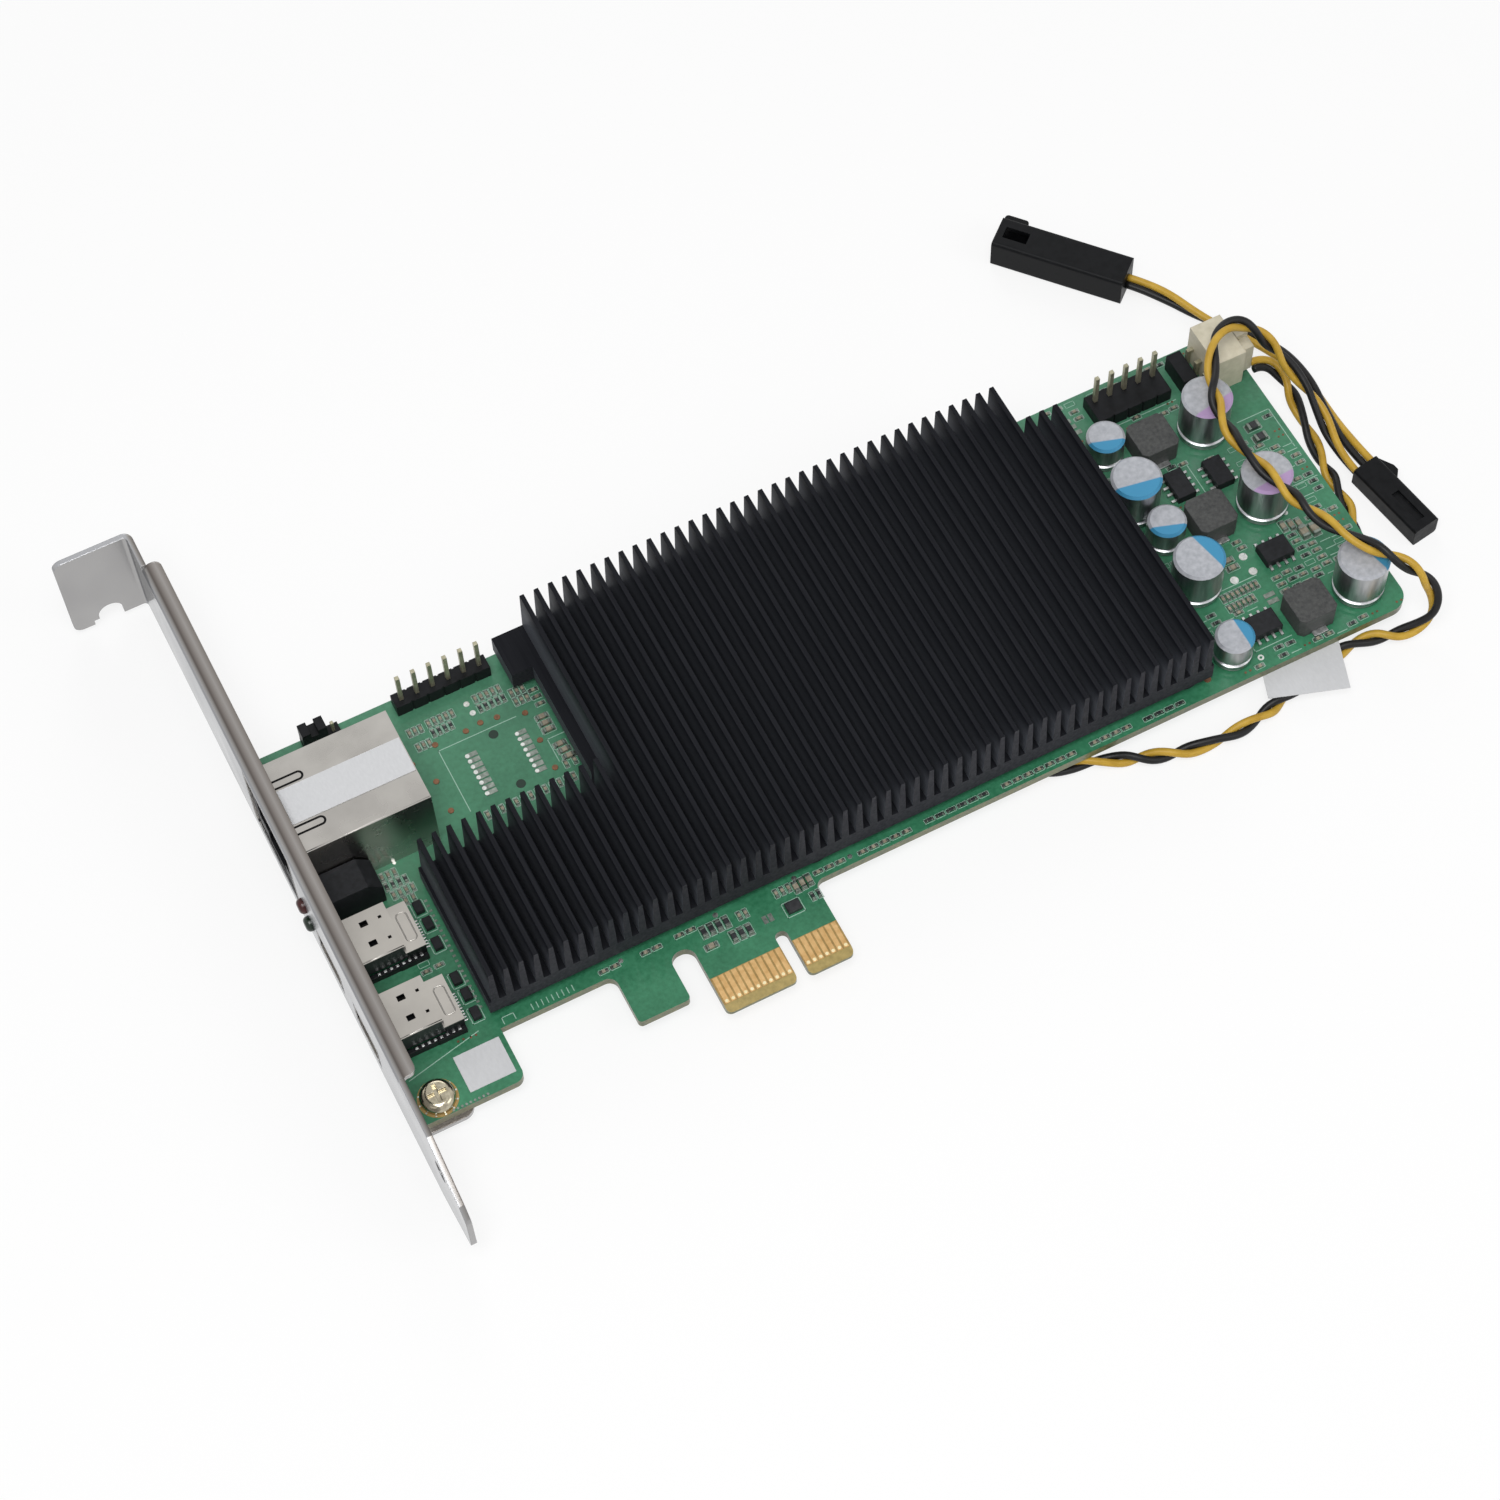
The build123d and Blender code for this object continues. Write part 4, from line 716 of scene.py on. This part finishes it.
SILK_LINES = [  # white lines printed on the board: the places that each one joins
    [(-31.0, 46.4), (-31.0, 57.7), (-18.4, 57.7)], [(-15.9, 47.9), (-15.9, 52.0), (-12.9, 52.0)],
    [(2.2, 9.3), (5.0, 9.3), (5.0, 11.7), (2.2, 11.7), (2.2, 9.3)],
    [(-41.0, 13.2), (-41.0, 14.2), (-39.2, 14.2), (-39.2, 13.2)],
    [(-56.6, 11.4), (-44.8, 13.9)], [(83.6, 27.7), (91.0, 27.7)], [(84.0, 22.3), (84.0, 16.2), (90.2, 16.2)],
    [(102.6, 52.8), (108.2, 52.8), (108.2, 45.0)], [(83.2, 61.0), (96.4, 61.0)],
    [(102.8, 38.8), (108.4, 38.8)],
    [(91.8, 50.2), (91.8, 43.0)], [(-56.9, 61.6), (-38.0, 61.6), (-38.0, 66.0)],
]
TICK_ROWS = [  # first place, step, how many, height
    ((-36.4, 13.3), 0.8, 9, 0.9),
]
FRAMED_PARTS = [  # printed outlines round the chips beside the display sockets
    (-44.3, 35.4), (-44.1, 32.4), (-44.3, 28.9), (-44.2, 22.6), (-43.9, 19.7), (-44.0, 16.4),
]
FRAMED_HALF = (0.95, 1.25)
SMALL_CHIP = (3.6, 10.5, 2.2, 1.7, 0.8)    # place, length, width, height
SMALL_CHIP_EDGE = 0.08
FINGER_PATCHES = [(-12.15, -0.95), (0.95, 8.15)]    # bare laminate between the edge pads
PATCH_LOW, PATCH_TOP = 1.31, 5.9
PATCH_T = 0.012

# What fills the free places between the power parts, on a loose grid
FILL_SEED = 5
FILL_AREAS = [((77.4, 13.8), (108.2, 68.0)), ((-47.4, 24.4), (-42.9, 27.2)), ((-47.6, 13.6), (-45.2, 14.6))]
FILL_STEP = (2.0, 1.35)
FILL_LOOSE = 0.15
FILL_REACH = (0.95, 0.55)    # how far what fills a place reaches from its middle
SPOT_REACH = 0.6    # how far the parts, pads and dots above do
# The draw below which a free place gets a clay part, an ink part, two vias, a line or an empty outline
CLAY_BELOW, INK_BELOW, VIAS_BELOW, LINE_BELOW, OUTLINE_BELOW = 0.42, 0.58, 0.7, 0.82, 0.92
VIA_SIDE = 0.4
VIA_R = 0.2
FILL_HALF = (0.8, 0.4)
# What stays clear of the fill: bare areas, the power chips (place, length, width) and other parts
PLAIN_AREAS = [((103.6, 53.2), (109.0, 58.4)), ((103.8, 65.8), (109.0, 69.0))]
CHIPS_AT = [
    (88.6, 46.6, 4.8, 5.0), (95.0, 45.9, 4.8, 5.0), (95.4, 29.7, 4.7, 5.3), (87.1, 19.4, 4.7, 5.3),
]
TALL_PARTS = [
    *CAN_TOPS, "inductor_1", "inductor_2", "inductor_3", "ten_header_base", "key_block", "cable_header",
]


def place_block(bm, x, y, length, width, height, turn, slot, edge=0.0, z=0.0):
    """A block that stands on the board, sunk a little, with its upper edges cut back."""
    along = Vector((cos(radians(turn)), sin(radians(turn)), 0))
    across = Vector((-along.y, along.x, 0))
    levels = [(z - SUNK, 0.0), (z + height - edge, 0.0)]
    if edge:
        levels.append((z + height, edge))
    rings = []
    for level, inset in levels:
        half_l, half_w = length / 2 - inset, width / 2 - inset
        corners = [(-half_l, -half_w), (half_l, -half_w), (half_l, half_w), (-half_l, half_w)]
        rings.append([bm.verts.new(card(x, y, level) + (along * a + across * b) * MM) for a, b in corners])
    faces = [bm.faces.new(rings[-1]), bm.faces.new(reversed(rings[0]))]
    for one, two in zip(rings, rings[1:]):
        faces += join_rings(bm, one, two)
    for face in faces:
        face.material_index = slot


def place_disc(bm, x, y, radius, height, slot, inner=0.0, sides=DISC_SIDES):
    """A flat round mark on the board, or a ring."""
    outline = [(radius, -SUNK), (radius - height / 2, height)]
    if inner:
        outline += [(inner, height), (inner, -SUNK)]
    rings = []
    for reach, z in outline:
        spots = [(x + reach * cos(turn), y + reach * sin(turn)) for turn in turns_round(sides)]
        rings.append([bm.verts.new(card(*spot, z)) for spot in spots])
    faces = []
    pairs = list(zip(rings, rings[1:]))
    if inner:
        pairs.append((rings[-1], rings[0]))
    else:
        faces += [bm.faces.new(rings[-1]), bm.faces.new(reversed(rings[0]))]
    for one, two in pairs:
        faces += join_rings(bm, one, two)
    for face in faces:
        face.material_index = slot


def place_line(bm, points, width=SILK_W):
    """A flat printed line through places on the board."""
    for (x0, y0), (x1, y1) in zip(points, points[1:]):
        run = Vector((x1 - x0, y1 - y0))
        turn = Vector((1, 0)).angle_signed(run) * -180 / pi
        place_block(bm, (x0 + x1) / 2, (y0 + y1) / 2, run.length + width, width, MARK_T, turn, SILK)


def place_frame(bm, x, y, half_x, half_y, width):
    """A printed outline round a part."""
    sides = [(-1, -1), (1, -1), (1, 1), (-1, 1), (-1, -1)]
    place_line(bm, [(x + half_x * side_x, y + half_y * side_y) for side_x, side_y in sides], width)


def place_part(bm, kind, x, y, turn):
    """A two-ended part: a body between metal ends, on pads, in a printed outline."""
    size, skin = kind.split()
    length, width, height = PART_SIZES[size]
    end = length * END_SHARE
    along = Vector((cos(radians(turn)), sin(radians(turn))))
    body = CLAY if skin == "clay" else INK
    place_block(bm, x, y, length - 2 * end, width * BODY_SHARE, height, turn, body, BODY_EDGE)
    for side in (-1, 1):
        foot = Vector((x, y)) + along * side * (length - end) / 2
        place_block(bm, foot.x, foot.y, end, width, height + SUNK, turn, TIN, END_EDGE)
        pad = Vector((x, y)) + along * side * (length + PAD_BEYOND) / 2
        place_block(bm, pad.x, pad.y, PAD_L, width + PAD_WIDER, PAD_T, turn, TIN, PAD_EDGE)
    half = (length / 2 + FRAME_GAP, width / 2 + FRAME_GAP / 2)
    place_frame(bm, x, y, *(half if turn == 0 else half[::-1]), FRAME_W)


def row_places(first, step, count):
    """The places of a row, from the first one on."""
    return [(first[0] + step[0] * n, first[1] + step[1] * n) for n in range(count)]


def taken_areas():
    """The places on the board that are taken: low and high corners on the card."""
    areas = [*PLAIN_AREAS]
    for node in TALL_PARTS:
        low, high = [(Vector(corner) - CARD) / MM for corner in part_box(node)]
        areas.append((low.xy, high.xy))
    areas += [((x - w / 2, y - h / 2), (x + w / 2, y + h / 2)) for x, y, w, h in CHIPS_AT]
    spots = [spot for _, first, step, count, _ in RUNS for spot in row_places(first, step, count)]
    spots += [spot for first, step, count, _, _ in PAD_ROWS for spot in row_places(first, step, count)]
    spots += [spot for _, _, first, step, count in DOTS for spot in row_places(first, step, count)]
    reaches = [(x, y, SPOT_REACH) for x, y in spots] + [(x, y, radius) for _, x, y, radius, _ in RINGS]
    return areas + [((x - reach, y - reach), (x + reach, y + reach)) for x, y, reach in reaches]


def fill_places():
    """Free places on a loose grid over the busy parts of the board."""
    chance = Random(FILL_SEED)
    taken = taken_areas()
    places = []
    for (low_x, low_y), (high_x, high_y) in FILL_AREAS:
        columns = int((high_x - low_x) / FILL_STEP[0]) + 1
        rows = int((high_y - low_y) / FILL_STEP[1]) + 1
        for column in range(columns):
            for row in range(rows):
                x = low_x + column * FILL_STEP[0] + chance.uniform(-FILL_LOOSE, FILL_LOOSE)
                y = low_y + row * FILL_STEP[1] + chance.uniform(-FILL_LOOSE, FILL_LOOSE)
                draw = chance.random()
                inside = [low[0] - FILL_REACH[0] < x < high[0] + FILL_REACH[0]
                          and low[1] - FILL_REACH[1] < y < high[1] + FILL_REACH[1] for low, high in taken]
                if not any(inside):
                    places.append((x, y, draw))
    return places


def add_fill(bm):
    """Small parts, vias, printed lines and empty outlines in the free places; some stay free."""
    half_x, half_y = FILL_HALF
    for x, y, draw in fill_places():
        if draw < CLAY_BELOW:
            place_part(bm, "small clay", x, y, 0)
        elif draw < INK_BELOW:
            place_part(bm, "small ink", x, y, 0)
        elif draw < VIAS_BELOW:
            for side in (-VIA_SIDE, VIA_SIDE):
                place_disc(bm, x + side, y, VIA_R, MARK_T, COPPER, sides=SPOT_SIDES)
        elif draw < LINE_BELOW:
            place_line(bm, [(x - half_x, y - half_y), (x + half_x, y - half_y)])
        elif draw < OUTLINE_BELOW:
            place_frame(bm, x, y, half_x, half_y, FRAME_W)


# Finishes of very small things: the size of their mottle and grain, and no rounded edges
SMALL_METAL = {"size": 0.5, "edge": 0.0}
SMALL_PLASTIC = {"size": 0.8, "grain": 0.1, "edge": 0.0}


def add_board_details():
    """The small parts and marks on the board, in one piece."""
    bm = bmesh.new()
    for kind, first, step, count, turn in RUNS:
        for x, y in row_places(first, step, count):
            place_part(bm, kind, x, y, turn)
    for first, step, count, length, width in PAD_ROWS:
        for x, y in row_places(first, step, count):
            place_block(bm, x, y, length, width, PAD_T, 0, TIN, PAD_EDGE)
    for metal, radius, first, step, count in DOTS:
        for x, y in row_places(first, step, count):
            place_disc(bm, x, y, radius, MARK_T if metal == DARK else DOT_T, metal)
    for metal, x, y, radius, inner in RINGS:
        place_disc(bm, x, y, radius, MARK_T, metal, inner, sides=RING_SIDES)
    screw_x, screw_y = RINGS[-1][1:3]
    reach, radius = SCREW_DOT
    for turn in turns_round(SCREW_DOTS):
        x, y = screw_x + reach * cos(turn), screw_y + reach * sin(turn)
        place_disc(bm, x, y, radius, DOT_T, SHINY, sides=SPOT_SIDES)
    for points in SILK_LINES:
        place_line(bm, points)
    for (x, y), step, count, height in TICK_ROWS:
        for n in range(count):
            place_line(bm, [(x + step * n, y), (x + step * n, y + height)])
    for x, y in FRAMED_PARTS:
        place_frame(bm, x, y, *FRAMED_HALF, SILK_W)
    x, y, length, width, height = SMALL_CHIP
    place_block(bm, x, y, length, width, height, 0, INK, SMALL_CHIP_EDGE)
    for low, high in FINGER_PATCHES:
        middle = ((low + high) / 2, (PATCH_LOW + PATCH_TOP) / 2)
        place_block(bm, *middle, high - low, PATCH_TOP - PATCH_LOW, PATCH_T, 0, LAMINATE)
    add_fill(bm)
    finish_mesh(bm, "board_details", [
        plain_metal("board_tin", srgb(112, 122, 114), srgb(146, 154, 146), (0.3, 0.45), **SMALL_METAL),
        plain_plastic("part_clay", srgb(128, 120, 104), srgb(164, 156, 138), (0.4, 0.55), **SMALL_PLASTIC),
        plain_plastic("part_ink", srgb(34, 35, 37), srgb(52, 53, 56), (0.3, 0.45), **SMALL_PLASTIC),
        paper("board_print", srgb(152, 188, 170)),
        plain_metal("board_copper", srgb(104, 74, 54), srgb(138, 98, 70), (0.35, 0.5),
                    metallic=0.5, **SMALL_METAL),
        plain_plastic("board_hole", srgb(22, 40, 32), srgb(32, 52, 42), (0.5, 0.7), **SMALL_PLASTIC),
        plain_plastic("bare_laminate", srgb(150, 122, 70), srgb(174, 146, 90), (0.4, 0.55),
                      **SMALL_PLASTIC),
        plain_metal("bright_gold", srgb(246, 230, 178), srgb(252, 242, 204), (0.2, 0.3), **SMALL_METAL),
        plain_metal("bright_tin", srgb(196, 200, 196), srgb(228, 230, 226), (0.25, 0.35), **SMALL_METAL),
    ])


# Details of the sockets, in millimetres on the card. A folded edge of a shell: from and to along the
# card, its side and its top; a display socket's is measured across the card from the socket's middle
SHELL_EDGE_R = 0.22
JACK_EDGE = ((-58.2, -36.9), 44.0, 13.5)
DISPLAY_EDGE = ((-57.4, -49.1), -3.95, 5.25)
DISPLAY_YS = (32.25, 19.25)    # the middles of the display sockets
EMBOSS_AT = (-47.5, -0.75)    # the pressed outline's middle, from the socket's own across the card
EMBOSS_HALF = (0.9, 2.5)
EMBOSS_R = 0.7
EMBOSS_W = 0.22
EMBOSS_Z = 4.35
EMBOSS_H = 0.1
TAILS = 10    # solder tails behind each display socket
TAIL_PITCH = 0.5
TAIL_SIZE = (0.9, 0.24, 0.16)
TAIL_X = -45.7
TAIL_EDGE = 0.03
RAIL_REACH = (-9.4, -4.4)    # how the rail goes on towards the bracket, from the insulator's rear end
RAIL_SIZE = (0.8, 1.25)
RAIL_EDGE = 0.1
RAIL_DOTS_X = (-7.6, 0.95)    # from the insulator's rear end, and the step
RAIL_DOTS = 8
RAIL_DOT = (0.45, 0.4, 0.08)
RAIL_SIDE = -4.35    # across the card from the socket's middle
RAIL_Z = 1.3
SOLDER_SLOT, PLASTIC_SLOT = range(2)
ROUND_STEPS = 6
ROD_SIDES = 12


def place_rod(bm, x0, x1, y, z, radius):
    """A fold of sheet metal along the card, as a thin round rod closed at both ends."""
    rings = []
    for x in (x0, x1):
        spots = [(x, y + radius * cos(turn), z + radius * sin(turn)) for turn in turns_round(ROD_SIDES)]
        rings.append([bm.verts.new(card(*spot)) for spot in spots])
    for face in join_rings(bm, *rings):
        face.smooth = True
    bm.faces.new(reversed(rings[0]))
    bm.faces.new(rings[1])


def rounded_outline(x, y, half_x, half_y, radius):
    """The places round a rectangle with rounded corners."""
    places = []
    for quarter, (side_x, side_y) in enumerate([(1, 1), (-1, 1), (-1, -1), (1, -1)]):
        for n in range(ROUND_STEPS + 1):
            turn = (quarter + n / ROUND_STEPS) * pi / 2
            places.append((x + side_x * (half_x - radius) + radius * cos(turn),
                           y + side_y * (half_y - radius) + radius * sin(turn)))
    return places


def place_emboss(bm, x, y):
    """A raised rounded outline pressed into a shell's rear plate."""
    half_x, half_y = EMBOSS_HALF
    rings = []
    for inset, z in ((0.0, -SUNK), (EMBOSS_W / 4, EMBOSS_H), (EMBOSS_W * 3 / 4, EMBOSS_H), (EMBOSS_W, -SUNK)):
        outline = rounded_outline(x, y, half_x - inset, half_y - inset, EMBOSS_R - inset)
        rings.append([bm.verts.new(card(*spot, EMBOSS_Z + z)) for spot in outline])
    for one, two in zip(rings, rings[1:] + rings[:1]):
        for face in join_rings(bm, one, two):
            face.smooth = True


def add_shell_details(metal, solder, plastic):
    """The sockets' folded edges and pressed outlines, and the contacts beside the display sockets."""
    bm = bmesh.new()
    (x0, x1), y, z = JACK_EDGE
    place_rod(bm, x0, x1, y + SHELL_EDGE_R, z - SHELL_EDGE_R + SUNK, SHELL_EDGE_R)
    (x0, x1), side, z = DISPLAY_EDGE
    for middle in DISPLAY_YS:
        place_rod(bm, x0, x1, middle + side + SHELL_EDGE_R, z - SHELL_EDGE_R + SUNK, SHELL_EDGE_R)
        place_emboss(bm, EMBOSS_AT[0], middle + EMBOSS_AT[1])
    finish_mesh(bm, "shell_folds", [metal])
    bm = bmesh.new()
    rear_x = (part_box("display_insulator_1")[1][0] - CARD.x) / MM
    for middle in DISPLAY_YS:
        for n in range(TAILS):
            y = middle + EMBOSS_AT[1] + TAIL_PITCH * (n - (TAILS - 1) / 2)
            place_block(bm, TAIL_X, y, *TAIL_SIZE, 0, SOLDER_SLOT, TAIL_EDGE)
        low, high = [rear_x + reach for reach in RAIL_REACH]
        y = middle + RAIL_SIDE
        place_block(bm, (low + high) / 2, y, high - low, *RAIL_SIZE, 0, PLASTIC_SLOT, RAIL_EDGE)
        for n in range(RAIL_DOTS):
            x = rear_x + RAIL_DOTS_X[0] + RAIL_DOTS_X[1] * n
            place_block(bm, x, y, *RAIL_DOT, 0, SOLDER_SLOT, TAIL_EDGE, RAIL_Z)
    finish_mesh(bm, "socket_contacts", [solder, plastic])


# Floor: its width in metres, its drop below the card in millimetres, and how much of it glows when seen
FLOOR_SIZE = 6.0
FLOOR_DROP = 0.02
FLOOR_GLOW = 0.78


def add_floor():
    """A pale floor that shows as white paper but keeps the shadow."""
    bm = bmesh.new()
    bmesh.ops.create_grid(bm, x_segments=1, y_segments=1, size=FLOOR_SIZE / 2)
    data = bpy.data.meshes.new("floor")
    bm.to_mesh(data)
    bm.free()
    floor = bpy.data.objects.new("floor", data)
    floor.location.z = -FLOOR_DROP * MM
    bpy.context.collection.objects.link(floor)
    shader = Shader("floor_paper", srgb(248, 248, 248), roughness=0.9, specular=0.1)
    glow = shader.nodes.new("ShaderNodeEmission")
    glow.inputs["Strength"].default_value = 1.0
    blend = shader.nodes.new("ShaderNodeMixShader")
    path = shader.nodes.new("ShaderNodeLightPath")
    seen = shader.maths("MAXIMUM", path.outputs["Is Camera Ray"], path.outputs["Is Glossy Ray"])
    shader.link(shader.span(seen, 0, 1, 0.0, FLOOR_GLOW), blend.inputs["Fac"])
    shader.link(shader.surface.outputs["BSDF"], blend.inputs[1])
    shader.link(glow.outputs["Emission"], blend.inputs[2])
    shader.link(blend.outputs["Shader"], shader.nodes["Material Output"].inputs["Surface"])
    data.materials.append(shader.material)


# Room light on the object and as it is seen; lamps: name, place and size in metres, watts
ROOM_LIGHT = 0.36
ROOM_SEEN = 0.9
LAMPS = [
    ("key", (-0.14, -0.2, 0.65), 0.35, 2.8),
    ("fill", (0.5, -0.5, 0.5), 0.4, 1.0),
    ("back", (0.2, 0.7, 0.5), 0.4, 1.0),
]


def add_lamp(name, place, size, power):
    """A square lamp that points at the middle of the card."""
    data = bpy.data.lights.new(name, "AREA")
    data.shape = "SQUARE"
    data.size = size
    data.energy = power
    lamp = bpy.data.objects.new(name, data)
    lamp.location = place
    lamp.rotation_euler = (-Vector(place)).to_track_quat("-Z", "Y").to_euler()
    bpy.context.collection.objects.link(lamp)


def add_light():
    """The room's even light, which looks brighter than it lights the card, and the lamps."""
    world = bpy.data.worlds.new("studio")
    world.use_nodes = True
    nodes, links = world.node_tree.nodes, world.node_tree.links
    path = nodes.new("ShaderNodeLightPath")
    seen = nodes.new("ShaderNodeMath")
    seen.operation = "MAXIMUM"
    level = nodes.new("ShaderNodeMapRange")
    level.inputs["To Min"].default_value = ROOM_LIGHT
    level.inputs["To Max"].default_value = ROOM_SEEN
    links.new(path.outputs["Is Camera Ray"], seen.inputs[0])
    links.new(path.outputs["Is Glossy Ray"], seen.inputs[1])
    links.new(seen.outputs["Value"], level.inputs["Value"])
    links.new(level.outputs["Result"], nodes["Background"].inputs["Strength"])
    nodes["Background"].inputs["Color"].default_value = (1, 1, 1, 1)
    bpy.context.scene.world = world
    for lamp in LAMPS:
        add_lamp(*lamp)


add_camera()
add_floor()
add_light()
dress_nodes()
add_board_details()
add_harness()

bpy.context.scene.view_settings.view_transform = "Standard"
